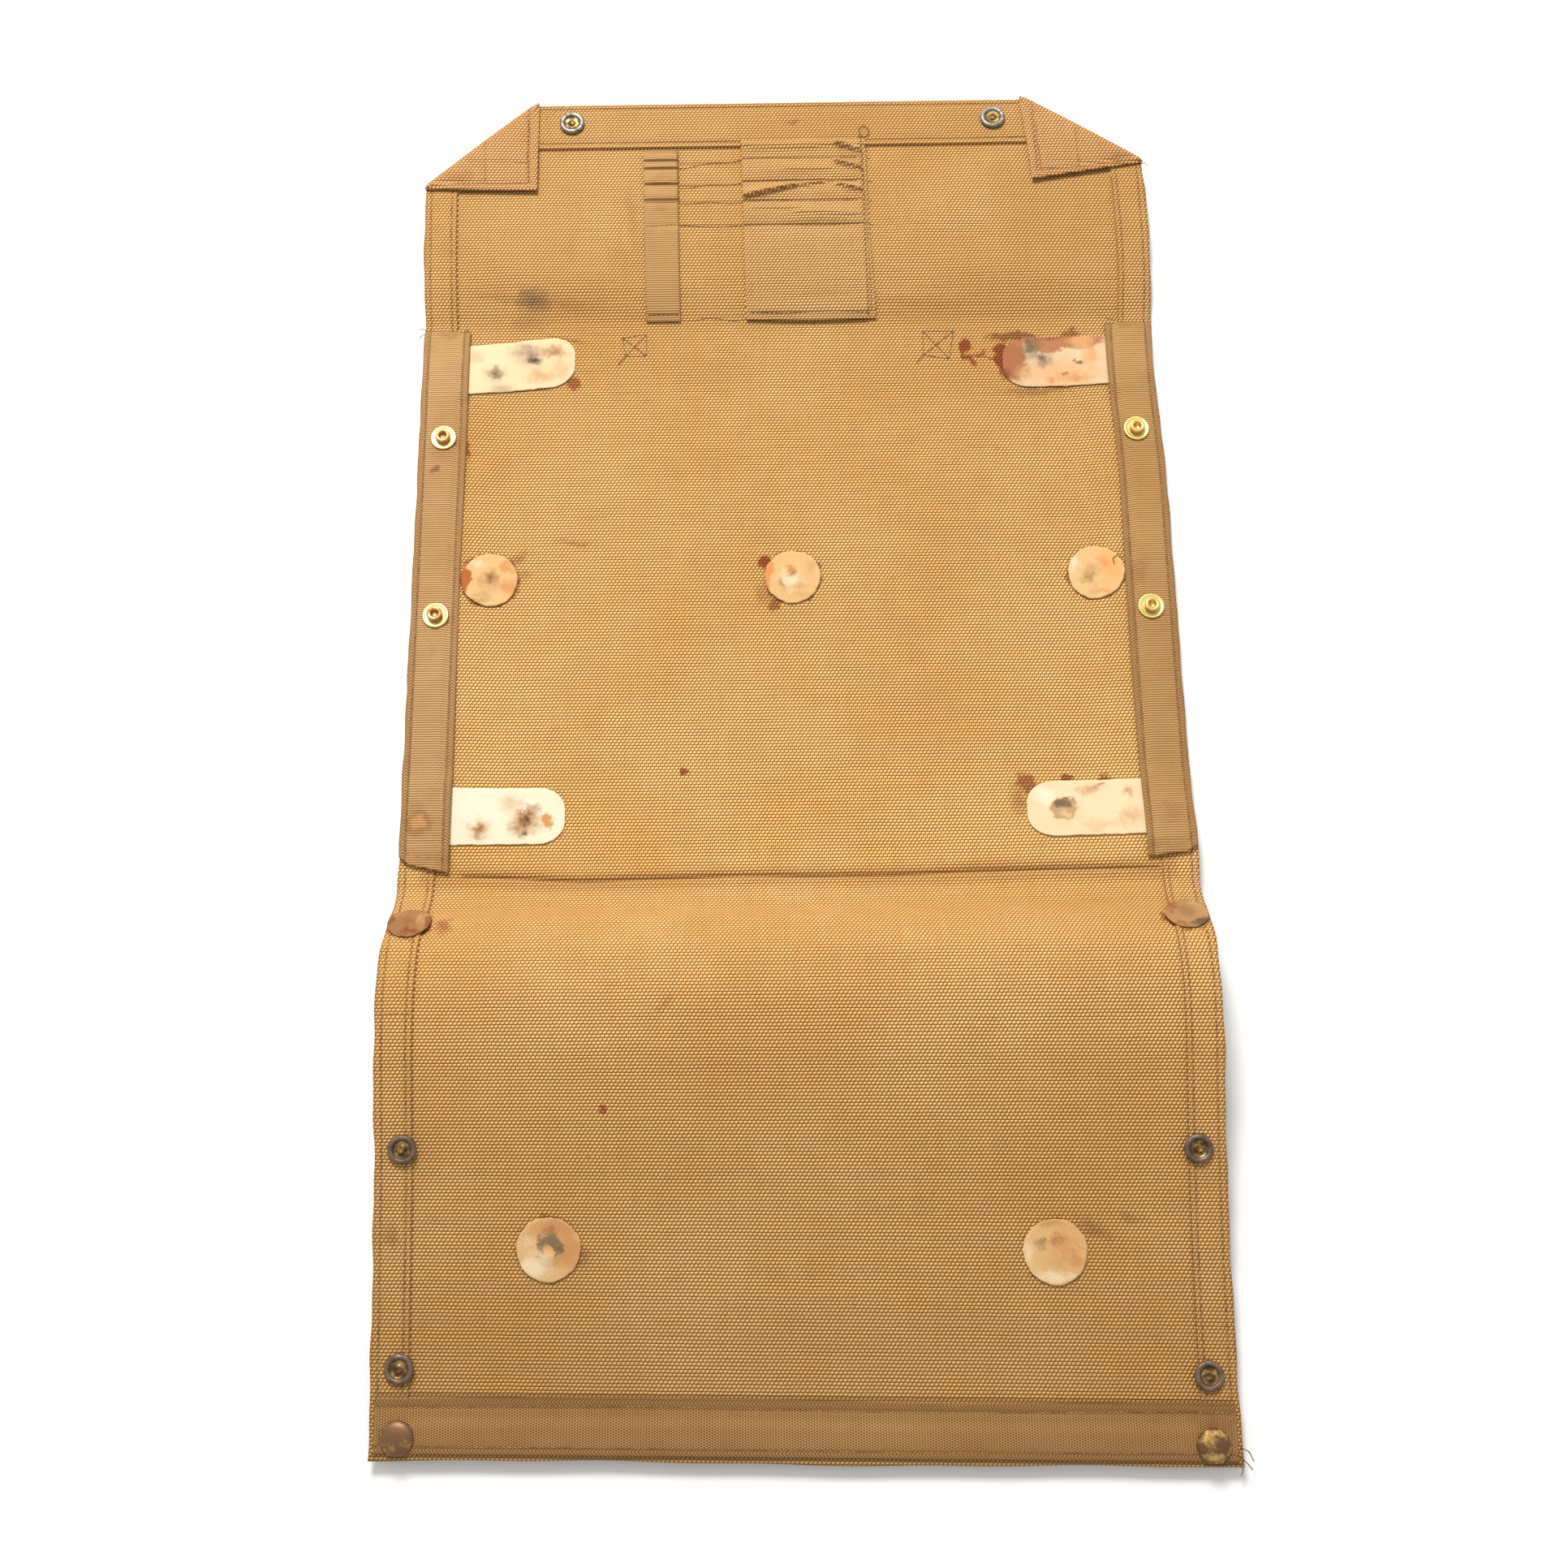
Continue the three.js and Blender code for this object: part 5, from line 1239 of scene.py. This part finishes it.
CREAM = (seen(212, 176, 122), seen(204, 160, 105), seen(190, 140, 85), seen(162, 114, 65))
OLD_COTTON = (seen(180, 132, 86), seen(162, 112, 68), seen(140, 90, 50), seen(106, 68, 37))
patches = (
    (
        "patch_back_left", -152, 271, 28, CANVAS, 0.8, 0.3, CREAM,
        (
            (-153, 271, 8, 8, 0, 0.9, 0.9, TAN, 0.85),
            (-151, 270, 4.6, 5, 0, 1.0, 0.9, BROWN, 0.85),
            (-151, 271, 2, 2.4, 0, 1.0, 0.9, CHAR, 0.5),
            (-144, 264, 6, 5, 0, 0.8, 0.9, ORANGE, 0.8),
            (-142, 275, 8, 6, 30, 0.9, 0.9, ORANGE, 0.8),
            (-165.4, 271, 4.6, 9, 0, 0.3, 0.35, seen(160, 84, 42), 0.95),
            (-156, 281, 9, 4, 0, 1.0, 0.9, BROWN, 0.5),
            (-158, 262, 6, 4, 0, 1.0, 0.9, WHITE_COTTON[1], 0.6),
        ),
    ),
    (
        "patch_back_middle", 0, 271, 28, CANVAS, 1.1, 1.3, CREAM,
        (
            (-1, 273, 9, 8, 0, 0.8, 0.8, WHITE_COTTON[1], 0.5),
            (-1, 266, 4, 3.2, 0, 0.8, 0.8, seen(190, 122, 70), 0.9),
            (0, 269, 4, 3, 0, 0.9, 0.8, BROWN, 0.85), (-5, 275, 2.6, 5, 20, 0.9, 0.9, BROWN, 0.6),
            (3, 276, 5, 3, 0, 1.0, 0.9, ORANGE, 0.6),
            (-12, 266, 3.8, 6, 0, 0.4, 0.5, seen(196, 126, 72), 0.9),
            (-13.5, 275, 2.4, 8, 0, 0.3, 0.4, ORANGE, 0.85), (9, 265, 5, 5, 0, 1.0, 0.9, TAN, 0.7),
            (4, 281, 8, 3, 0, 1.0, 0.9, TAN, 0.6),
        ),
    ),
    (
        "patch_back_right", 152, 271, 28, CANVAS, 0.6, 0.2, CREAM,
        (
            (160, 268, 8, 13, 0, 0.7, 0.5, seen(220, 156, 94), 0.9),
            (156, 266, 4, 7, 30, 0.9, 0.8, seen(196, 128, 70), 0.75),
            (149, 270, 8, 8, 0, 1.0, 0.9, TAN, 0.75), (148, 274, 4.6, 4.6, 0, 1.0, 0.9, BROWN, 0.6),
            (154, 281, 9, 3.4, 0, 1.0, 0.8, ORANGE, 0.6),
            (142, 266, 4, 7, 0, 1.0, 0.8, WHITE_COTTON[1], 0.6),
        ),
    ),
    (
        "patch_front_left", -112.5, 609, 28.6, CANVAS, 1.5, 1.0,
        (seen(216, 180, 130), seen(204, 162, 110), seen(186, 140, 88), seen(148, 104, 62)),
        (
            (-103, 609, 9, 13, 0, 0.8, 0.5, seen(180, 124, 72), 0.8),
            (-110, 599, 16, 7, 8, 0.8, 0.5, seen(176, 122, 74), 0.8),
            (-112, 605.6, 6.8, 4.6, 0, 0.5, 0.4, SOOT, 0.85),
            (-116.4, 609, 2.2, 3.4, 20, 0.6, 0.4, SOOT, 0.8),
            (-107.6, 609, 2.2, 3.4, -20, 0.6, 0.4, SOOT, 0.8),
            (-112, 610.4, 3.8, 3.6, 0, 0.7, 0.4, seen(210, 158, 96), 0.9),
            (-122, 605, 4, 5, 0, 1.0, 0.6, COTTON[1], 0.6),
            (-118, 616, 10, 8, 20, 0.8, 0.5, COTTON[0], 0.95),
            (-112, 601, 5, 2.6, 0, 0.8, 0.6, BROWN, 0.7),
        ),
    ),
    (
        "patch_front_right", 112.5, 609, 28.6, CANVAS, 0.8, 0.2,
        (seen(220, 182, 130), seen(208, 164, 110), seen(190, 142, 88), seen(150, 104, 60)),
        (
            (116, 606, 10, 10, 30, 1.0, 0.8, seen(190, 132, 78), 0.75),
            (106, 605, 4.4, 4, 0, 1.0, 0.9, SOOT, 0.6), (113, 604, 5, 4, 0, 1.0, 0.9, BROWN, 0.7),
            (122, 612, 5, 7, 0, 0.9, 0.9, seen(184, 120, 66), 0.65),
            (112, 620, 13, 4.6, 0, 0.9, 0.8, COTTON[0], 0.8),
            (100, 610, 4, 9, 0, 0.9, 0.8, COTTON[0], 0.7),
            (110, 596, 10, 3, 0, 1.0, 0.9, BROWN, 0.4),
        ),
    ),
    (
        "patch_hem_left", -179.7, 457, 20, HEM, 0.7, 0.2, OLD_COTTON,
        (
            (-180, 457, 7, 6, 0, 1.0, 0.9, BROWN, 0.7), (-186, 452, 4, 4, 0, 1.0, 0.9, ORANGE, 0.6),
            (-174, 455, 4, 7, 0, 0.9, 0.9, seen(206, 156, 106), 0.6),
            (-178, 464, 9, 3, 0, 0.8, 0.8, RUST, 0.7),
            (-170.5, 458, 2.4, 7, 0, 0.5, 0.7, RUST, 0.6),
            (-189, 456, 2.4, 6, 0, 0.5, 0.7, GLUE, 0.6),
        ),
    ),
    (
        "patch_hem_right", 179.7, 457, 20, HEM, 0.5, 0.2,
        (seen(196, 152, 102), seen(180, 132, 82), seen(162, 114, 66), seen(122, 82, 46)),
        (
            (173, 453, 5, 7, 30, 0.9, 0.8, RUST, 0.6), (180, 456, 6, 6, 0, 1.0, 0.9, BROWN, 0.6),
            (185, 464, 7, 3, 30, 0.7, 0.8, SOOT, 0.9),
            (184, 451, 4, 4, 0, 1.0, 0.9, COTTON[1], 0.4),
            (177, 465, 6, 2.4, 0, 0.8, 0.8, RUST, 0.5),
        ),
    ),
)
for name, x, along, size, seat, swell, dish, tone, mark_list in patches:
    patch = round_patch(f"{name}_cotton", x, along, size, seat, swell, dish)
    crumpled = 0.0011 if "hem" in name else 0.0003
    patch.data.materials.append(
        twill_finish(name, tone, mark_list, pitch=0.75, slope=-0.35, gap=0.35, depth=crumpled)
    )
    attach(patch, "root")
    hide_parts(name)
    size * MM
    size * MM
    0.785 * (size * MM) ** 2

# ---------------------------------------------------------------------------------------
# The press fasteners. Pressed brass: bright studs on the side tapes, and sockets on the flap
# and the front whose rings have gone dark. Each has a plain round back plate on the outside
# face, and they are turned about the line square to the cloth.
SOCKET_SEAT = HEM + GAP
TAPE_SEAT = HEM + GAP + TAPE + GAP


def softened(rows, times=2):
    """Cuts the corners off a profile so that its turns are round."""
    for _ in range(times):
        soft = [rows[0]]
        for (r0, z0), (r1, z1) in zip(rows, rows[1:]):
            soft.append((0.8 * r0 + 0.2 * r1, 0.8 * z0 + 0.2 * z1))
            soft.append((0.2 * r0 + 0.8 * r1, 0.2 * z0 + 0.8 * z1))
        rows = soft + [rows[-1]]
    return rows


def stands_on(x, along):
    """The place of a fastener on the laid cloth, with its axis square to it."""
    base, up = laid(x, along, 0.0), laid(x, along, 1.0)
    up = Vector((up - base) * 1000).normalized()
    side = (Vector((1, 0, 0)) - up * up.x).normalized()
    back = up.cross(side)
    place = Matrix((side, back, up)).transposed().to_4x4()
    place.translation = Vector(base)
    return place


def turned(name, x, along, *profiles):
    """A turned piece; each profile is rows of radius and out, from axis to axis."""
    metal = bmesh.new()
    for rows in profiles:
        fresh = [metal.verts.new((r * MM, 0, z * MM)) for r, z in softened(rows)]
        lines = [metal.edges.new(pair) for pair in zip(fresh, fresh[1:])]
        bmesh.ops.spin(
            metal, geom=fresh + lines, axis=(0, 0, 1), cent=(0, 0, 0), angle=math.tau, steps=44,
            use_merge=True,
        )
    bmesh.ops.remove_doubles(metal, verts=metal.verts[:], dist=1e-7)
    bmesh.ops.recalc_face_normals(metal, faces=metal.faces[:])
    bmesh.ops.transform(metal, matrix=stands_on(x, along), verts=metal.verts[:])
    piece = finished(metal, name)
    piece.data.shade_smooth()
    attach(piece, "root")
    return piece


# Profiles are radius and out, from the axis round to the axis. All but the back plate's are
# measured from the seat that the part lies on
back_plate = [(0, -1.2), (4.4, -1.2), (5.5, -0.8), (5.6, -0.35), (1.7, -0.3), (0, -0.3)]
flange_profile = (
    (0, 0), (6.2, 0), (6.6, 0.3), (6.3, 0.8), (5.7, 0.85), (5.2, 0.65), (3.6, 0.6), (0, 0.5),
)
knob_profile = (
    (0, 0.55), (3.4, 0.6), (3.3, 1.1), (3.9, 2.2), (3.75, 3.2), (3.0, 3.65), (2.2, 3.5),
    (1.7, 3.1), (1.4, 1.4), (0, 1.3),
)
ring_profile = (
    (0, 0), (6.2, 0), (6.65, 0.7), (6.4, 1.7), (5.6, 2.2), (4.7, 2.1), (4.2, 1.6), (3.9, 0.9),
    (0, 0.7),
)
bowl_profile = (
    (0, 0.75), (3.6, 0.85), (3.95, 1.35), (3.5, 1.0), (2.2, 0.95), (1.85, 1.1), (1.75, 1.75),
    (1.3, 1.95), (0.9, 1.6), (0.7, 1.3), (0, 1.25),
)


def on_seat(profile, seat):
    return [(r, seat + z) for r, z in profile]


# Tarnish: brown and dull in blotches, bright where it is rubbed
tarnish, given, result = shader_group(
    "tarnish", [("Place", "Vector", None), ("Scale", "Float", 400.0), ("Amount", "Float", 0.5)],
    ["Mask", "Grain"],
)
blotches = speckle(given["Place"], given["Scale"], 5.0, 0.6)
lower = 1.0 - given["Amount"]
join(eased(blotches, lower - 0.13, lower + 0.13), result["Mask"])
join(speckle(given["Place"], 2600.0, 2.0), result["Grain"])


def metal_finish(name, bright, dull, scale, amount, rough=(0.28, 0.62), metal=0.85):
    """Brass with its tarnish; rough holds the values where it is bright and where it is dull."""
    material, tree, shader = new_finish(name, metal=metal)
    place = node(tree, "TexCoord")["Object"]
    aged = placed(tarnish, {"Place": place, "Scale": scale, "Amount": amount})
    colour = mixed(aged["Mask"], bright, dull)
    colour = mixed(eased(aged["Grain"], 0.35, 0.7, 0, 0.25), colour, dull)
    join(colour, shader.inputs["Base Color"])
    join(eased(aged["Mask"], 0, 1, rough[0], rough[1]), shader.inputs["Roughness"])
    raised(shader, aged["Mask"], 5e-05, 0.4)
    return material


bright_brass = metal_finish(
    "bright brass", seen(216, 198, 126), seen(176, 142, 80), 260.0, 0.3, (0.38, 0.6),
)
knob_brass = {
    "left": metal_finish(
        "knob brass left", seen(208, 160, 104), seen(142, 98, 58), 300.0, 0.45, (0.38, 0.6),
    ),
    "right": metal_finish(
        "knob brass right", seen(220, 184, 108), seen(160, 118, 66), 300.0, 0.4, (0.38, 0.6),
    ),
}
aged_ring = metal_finish(
    "aged ring", seen(118, 98, 84), seen(88, 72, 60), 300.0, 0.5, (0.45, 0.6), 0.6,
)
grey_ring = metal_finish(
    "grey ring", seen(138, 132, 122), seen(92, 86, 78), 300.0, 0.45, (0.42, 0.6), 0.7,
)
bowl_brass = metal_finish(
    "bowl brass", seen(184, 154, 92), seen(88, 64, 38), 300.0, 0.55, (0.34, 0.6),
)
sideways = HALF - 13
near, far = 136.6, FRONT - 38.3
for end, side in SIDES:
    for level, along in (("upper", FRONT_START - far), ("lower", FRONT_START - near)):
        reach = max(over_tab(along - 6.9), over_tab(along), over_tab(along + 6.9))
        seat = TAPE_SEAT + float(reach) * (TAB + GAP)
        base, top = on_seat(flange_profile, seat), on_seat(knob_profile, seat)
        flange = turned(f"stud_{end}_{level}_flange", side * sideways, along, base, back_plate)
        flange.data.materials.append(bright_brass)
        knob = turned(f"stud_{end}_{level}_knob", side * sideways, along, top)
        knob.data.materials.append(knob_brass[end])
        for piece in (flange, knob):
            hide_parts(f"tape_stud_{end}_{level}")
socket_places = [
    (f"front_socket_{end}_{level}", side * sideways, along)
    for end, side in SIDES
    for level, along in (("upper", FRONT_START + near), ("lower", FRONT_START + far))
] + [("flap_socket_left", -HALF + 78, 13), ("flap_socket_right", HALF - 78, 13)]
for name, x, along in socket_places:
    ring = turned(f"{name}_ring", x, along, on_seat(ring_profile, SOCKET_SEAT), back_plate)
    ring.data.materials.append(grey_ring if name.startswith("flap") else aged_ring)
    bowl = turned(f"{name}_bowl", x, along, on_seat(bowl_profile, SOCKET_SEAT))
    bowl.data.materials.append(bowl_brass)
    for piece in (ring, bowl):
        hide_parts(name)

# ---------------------------------------------------------------------------------------
# The domed caps. Thin pressed brass on the two near corners, gone brown and rubbed back to
# gold in patches, with a stud on the outside face.
cap_stud = [
    (0, -3.9), (3.1, -3.9), (3.9, -2.6), (3.2, -1.3), (5.9, -1.1), (5.9, -0.35), (1.7, -0.3),
    (0, -0.3),
]
cap_metals = (
    metal_finish(
        "cap brass left", seen(196, 148, 92), seen(120, 88, 62), 210.0, 0.62, (0.32, 0.5), 0.8,
    ),
    metal_finish(
        "cap brass right", seen(238, 192, 108), seen(114, 82, 56), 190.0, 0.58, (0.24, 0.5), 0.85,
    ),
)
dome_profile = (
    (0, 0), (7.2, 0), (7.5, 0.3), (7.3, 0.9), (6.4, 1.75), (5.0, 2.35), (3.0, 2.75), (0, 2.9),
)
for (end, side), metal in zip(SIDES, cap_metals):
    dome = on_seat(dome_profile, TAPE_SEAT)
    cap = turned(f"cap_{end}", side * sideways, SHEET_LENGTH - 9.5, dome, cap_stud)
    cap.data.materials.append(metal)
    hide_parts(f"snap_cap_{end}")

# ---------------------------------------------------------------------------------------
# The stitching. Brown linen thread in straight rows along the hems and tapes, across the
# pencil tape and the pocket, and in two small crossed boxes below the upper crease that hold
# something on the outer face. Each stitch lies in the dip that it pulls in the cloth.


def sew(name, rows, stitch=2.0, pitch=2.45, thick=0.5):
    """Rows of stitches; each row is a path of (x, along, out) in millimetres."""
    thread, one_row = bmesh.new(), bpy.data.meshes.new("one row")
    on_its_side = Matrix.Rotation(math.pi / 2, 4, "Y")
    for path in rows:
        row = bmesh.new()
        path = np.array(path, float)
        legs = np.concatenate([[0], np.cumsum(np.hypot(*np.diff(path[:, :2], axis=0).T))])
        count = max(1, int(round(legs[-1] / pitch)))
        middles = (np.arange(count) + 0.5) * legs[-1] / count
        ends = []
        for reach in (-0.4, 0.4):
            at = np.clip(middles + reach * stitch, 0, legs[-1])
            ends.append(laid(*(np.interp(at, legs, path[:, k]) for k in range(3))))
        for one, two in zip(*ends):
            way = Vector(two - one)
            turn = way.to_track_quat("X", "Z").to_matrix().to_4x4()
            size = Matrix.Diagonal((0.5 * stitch * MM, 0.5 * thick * MM, 0.4 * thick * MM, 1))
            place = Matrix.Translation(Vector(one + two) / 2) @ turn @ size @ on_its_side
            bmesh.ops.create_uvsphere(row, u_segments=6, v_segments=4, radius=1, matrix=place)
        row.to_mesh(one_row)
        row.free()
        thread.from_mesh(one_row)
    bpy.data.meshes.remove(one_row)
    piece = finished(thread, name)
    piece.data.shade_smooth()
    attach(piece, "root")
    return piece


def thread_finish(name, light, dark):
    material, tree, shader = new_finish(name, rough=0.8)
    place = node(tree, "TexCoord")["Object"]
    colour = mixed(eased(speckle(place, 160.0, 3.0), 0.35, 0.65), dark, light)
    join(colour, shader.inputs["Base Color"])
    twist = node(tree, "TexWave", {"Vector": place, "Scale": 900.0, "Distortion": 2.0})["Fac"]
    raised(shader, twist, 0.0001, 0.6)
    return material


def straight(x0, a0, x1, a1, out, waver=0.0, steps=24):
    """A sewn line between two places, which wavers a little to its sides."""
    t = np.linspace(0, 1, steps)
    sway = waver * np.sin(t * 9 + x0) if waver else 0
    dx, da = x1 - x0, a1 - a0
    long = math.hypot(dx, da)
    x, along = x0 + dx * t - sway * da / long, a0 + da * t + sway * dx / long
    return np.stack([x, along, np.full(steps, float(out))], -1)


brown_thread = thread_finish("brown thread", seen(160, 118, 74), seen(112, 78, 46))
dark_thread = thread_finish("dark thread", seen(126, 94, 60), seen(84, 60, 38))
hem_rows = []
for side, drop in ((-1, 56), (1, 47)):
    for inset in SIDE_ROWS:
        x = side * (HALF - inset)
        hem_rows.append(straight(x, drop, x, TAPE_TOP - 1, HEM - 0.18, 0.35))
        hem_rows.append(straight(x, TAPE_END + 2, x, 446, HEM - 0.18, 0.3))
        hem_rows.append(straight(x, 468, x, FRONT_TAPE_TOP - 1, HEM - 0.18, 0.35, 60))
hem_rows.append(straight(-127, FLAP_ROWS[0], 125, FLAP_ROWS[0], HEM - 0.12, 0.3))
hem_rows.append(straight(-128, FLAP_ROWS[1], 128, FLAP_ROWS[1], HEM - 0.12, 0.4))
for side, along in ((-1, 503), (1, 640)):
    hem_rows.append(straight(side * 189, along, side * 174, along, HEM + 0.05))
stitches = sew("hem_stitches", hem_rows)
stitches.data.materials.append(brown_thread)

tape_seams = []
for side in (-1, 1):
    for d in TAPE_ROWS:
        x = side * (TAPE_INNER + d)
        row = straight(x, TAPE_TOP + 2, x, TAPE_END - 5, 0, 0.2, 120)
        row[:, 2] = under_side_tape(TAPE_INNER + d, row[:, 1]) + TAPE - 0.12
        row[:, 1] += end_pull(side, d, row[:, 1])
        tape_seams.append(row)
    start, end, along = side * (TAPE_INNER + 8), side * (TAPE_OUTER - 2), TAPE_TOP + 5.5
    tape_seams.append(straight(start, along, end, along, HEM + GAP + TAPE + 0.08))
    row = straight(start, TAPE_END - 5, side * (TAPE_OUTER - 3), TAPE_END - 5, 0)
    row[:, 2] = HEM + GAP + TAPE - 0.05 + end_lift(TAPE_END - 5)
    row[:, 1] += end_pull(side, np.abs(row[:, 0]) - TAPE_INNER, row[:, 1])
    tape_seams.append(row)
for d in FRONT_TAPE_ROWS:
    along = FRONT_TAPE_TOP + d
    row = straight(-front_ends + 2, along, front_ends - 2, along, 0, 0.25, 120)
    row[:, 1] += 0.6 * np.sin(row[:, 0] / 41) * (1 - d / TAPE_WIDTH)
    row[:, 2] = GAP + CANVAS + (HEM - CANVAS) * front_doubled(row[:, 0], row[:, 1]) + TAPE - 0.12
    tape_seams.append(row)
for side in (-1, 1):
    x, out = side * (front_ends - 2.4), HEM + GAP + TAPE + 0.05
    tape_seams.append(straight(x, FRONT_TAPE_TOP + 5, x, FRONT_TAPE_LOW - 4, out))
stitches = sew("tape_stitches", tape_seams)
stitches.data.materials.append(brown_thread)

corner_rows = [
    straight(-135.8, 5, -135.8, 49, 4.55, 0.3), straight(-158.5, 26, -158.5, 48, 4.1, 0.2),
    straight(-136, 50, -176, 49.5, 4.4, 0.3), straight(-136, 37.5, -164, 37, 4.1, 0.3),
    straight(134.6, 6, 135.8, 46, 4.55, 0.3), straight(156, 25, 157, 44, 4.1, 0.2),
    straight(136, 46.6, 178, 42, 4.4, 0.3),
]
stitches = sew("corner_stitches", corner_rows)
stitches.data.materials.append(brown_thread)


def over_pocket(row):
    """Lifts a row's out to lie on the pocket, the pencil tape or the bare canvas."""
    x, along = row[:, 0], row[:, 1]
    on_pocket = (x > POCKET_X - POCKET_WIDTH / 2) & (x < POCKET_X + POCKET_WIDTH / 2)
    on_tape = np.abs(x - PENCIL_X) < PENCIL_WIDTH / 2
    row[:, 2] = CANVAS + 0.1
    row[:, 2] = np.where(on_pocket, CANVAS + GAP + 2 * POCKET_HALF + 0.12, row[:, 2])
    row[:, 2] = np.where(on_tape, CANVAS + GAP + TAPE + 0.1, row[:, 2])
    return row


pocket_stitching = []
for along, start, level in (
    (35.6, -56, 40.4), (49.6, -56, 52.4), (61.3, -56, 61.6), (75.4, -74, 74.8),
):
    pocket_stitching.append(over_pocket(straight(start, level, -22.6, along + 0.2, 0, 0.5, 60)))
    pocket_stitching.append(over_pocket(straight(-22.4, along, 46.6, along + 0.5, 0, 0.25, 60)))
for along in (40.6, 53.8, 63.0, 31.6):
    pocket_stitching.append(over_pocket(straight(-73.6, along, -57.6, along, 0, 0.1)))
pocket_stitching.append(over_pocket(straight(-73.6, PENCIL_END - 4, -57.6, PENCIL_END - 4, 0)))
pocket_stitching[-1][:, 2] += 0.3
pocket_stitching.append(over_pocket(straight(-56, 126.0, -23, 126.6, 0, 0.8)))
pocket_stitching.append(
    straight(41.8, POCKET_TOP + 3, 43.4, POCKET_END - 5, CANVAS + GAP + 1.2, 0.1, 60)
)
pocket_stitching.append(
    straight(-20, POCKET_END - 3.6, 42, POCKET_END - 3.6, CANVAS + GAP + 2.0, 0.3, 60)
)
for x, along, turn, wide in ((-80.4, 141.2, -5, 0.9), (77.2, 142.2, 5, 1.15)):
    box = np.array(
        [(-7, -6), (7, -7), (6, 7), (-6, 6), (-7, -6), (6, 7), (0, 0), (7, -7), (-6, 6)], float,
    ) * wide
    c, s = math.cos(math.radians(turn)), math.sin(math.radians(turn))
    across, down = box[:, 0] * c - box[:, 1] * s, box[:, 0] * s + box[:, 1] * c
    flat = np.stack([x + across, along + down, np.full(len(box), CANVAS + 0.15)], -1)
    pocket_stitching += [flat[k : k + 2] for k in (0, 1, 2, 3, 4, 7)]
    pocket_stitching.append(np.array([flat[3], flat[3] + (-4, 5, 0)]))
stitches = sew("pocket_and_box_stitches", pocket_stitching, stitch=2.2, thick=0.56)
stitches.data.materials.append(dark_thread)

# Loose ends of thread: a curl over the pocket, and frays at the tape ends and corners
curl = [(43.4, 30, HEM + 1.6), (43.0, 27, HEM + 0.8)]
for a in np.linspace(-2.4, 4.2, 30):
    x = 43.0 + 3.2 * math.cos(a) * (1 - 0.09 * a)
    curl.append((x, 20.2 - 3.4 * math.sin(a), HEM + 0.5 + 0.12 * a))
ends = [
    curl, [(-189, 132, 3.6), (-192, 130.6, 3.4), (-193.4, 131.2, 3)],
    [(-188, 134, 3.8), (-191.5, 134.4, 3.4), (-193, 136, 2.8)],
    [(-170, 133, 3.4), (-167, 130.5, 2.2)], [(188, 693, 3), (192, 697, 2.4), (194, 699.5, 2)],
    [(187, 695, 3), (190, 699.5, 2.2), (189, 702, 1.6)],
    [(189, 690, 3), (193, 692, 2.2), (195, 696, 1.6)],
    [(188, 44, 4), (191, 42.4, 3.6), (192.6, 43.6, 3)], [(172, 131, 3.6), (167, 129.8, 3)],
    [(164, 262, 2.4), (160.6, 264.4, 2.6), (161.4, 267.6, 2.4)],
]
frays = sew("loose_threads", ends, stitch=1.3, pitch=0.6, thick=0.5)
frays.data.materials.append(dark_thread)

# ---------------------------------------------------------------------------------------
# The table, a large sheet of white paper, and the soft light of a studio window that comes
# from beyond the flap.
paper = bmesh.new()
bmesh.ops.create_grid(paper, x_segments=8, y_segments=8, size=3)
floor = finished(paper, "floor")
material, tree, shader = new_finish("white paper", rough=0.95)
grain = speckle(node(tree, "TexCoord")["Object"], 40.0, 2.0)
join(mixed(grain, seen(220, 220, 220), seen(224, 224, 224)), shader.inputs["Base Color"])
floor.data.materials.append(material)

world = bpy.data.worlds.new("studio")
world.use_nodes = True
world.node_tree.nodes["Background"].inputs["Color"].default_value = (1, 0.99, 0.975, 1)
sky = node(world.node_tree, "SeparateXYZ", {0: node(world.node_tree, "TexCoord")["Generated"]})[1]
sky = eased(sky, -1.0, 1.0, 0.64, 1.02)
join(sky, world.node_tree.nodes["Background"].inputs["Strength"])
bpy.context.scene.world = world


def soft_light(name, place, aim, size, power):
    lamp = bpy.data.lights.new(name, "AREA")
    lamp.shape = "DISK"
    lamp.size = size
    lamp.energy = power
    lamp.color = (1, 0.985, 0.96)
    holder = bpy.data.objects.new(name, lamp)
    bpy.context.scene.collection.objects.link(holder)
    holder.location = place
    holder.rotation_euler = (Vector(aim) - Vector(place)).to_track_quat("-Z", "Y").to_euler()


soft_light("window", (-0.25, 0.95, 1.25), (0, 0.02, 0), 0.5, 34.5)

camera_data = bpy.data.cameras.new("camera")
camera_data.lens = 38.16
camera_data.sensor_width = 36
camera = bpy.data.objects.new("camera", camera_data)
bpy.context.scene.collection.objects.link(camera)
lift, swing, roll = math.radians(75.071), math.radians(-0.79), math.radians(-1.501)
ahead = Vector(
    (math.sin(swing) * math.cos(lift), math.cos(swing) * math.cos(lift), -math.sin(lift))
)
right = ahead.cross(Vector((0, 0, 1))).normalized()
up = right.cross(ahead)
c, s = math.cos(roll), math.sin(roll)
right, up = c * right + s * up, c * up - s * right
pose = Matrix((right, up, -ahead)).transposed().to_4x4()
pose.translation = Vector((-0.004731, -0.035922, 0.01)) - ahead * 0.79766
camera.matrix_world = pose
bpy.context.scene.camera = camera
bpy.context.scene.view_settings.view_transform = "Standard"
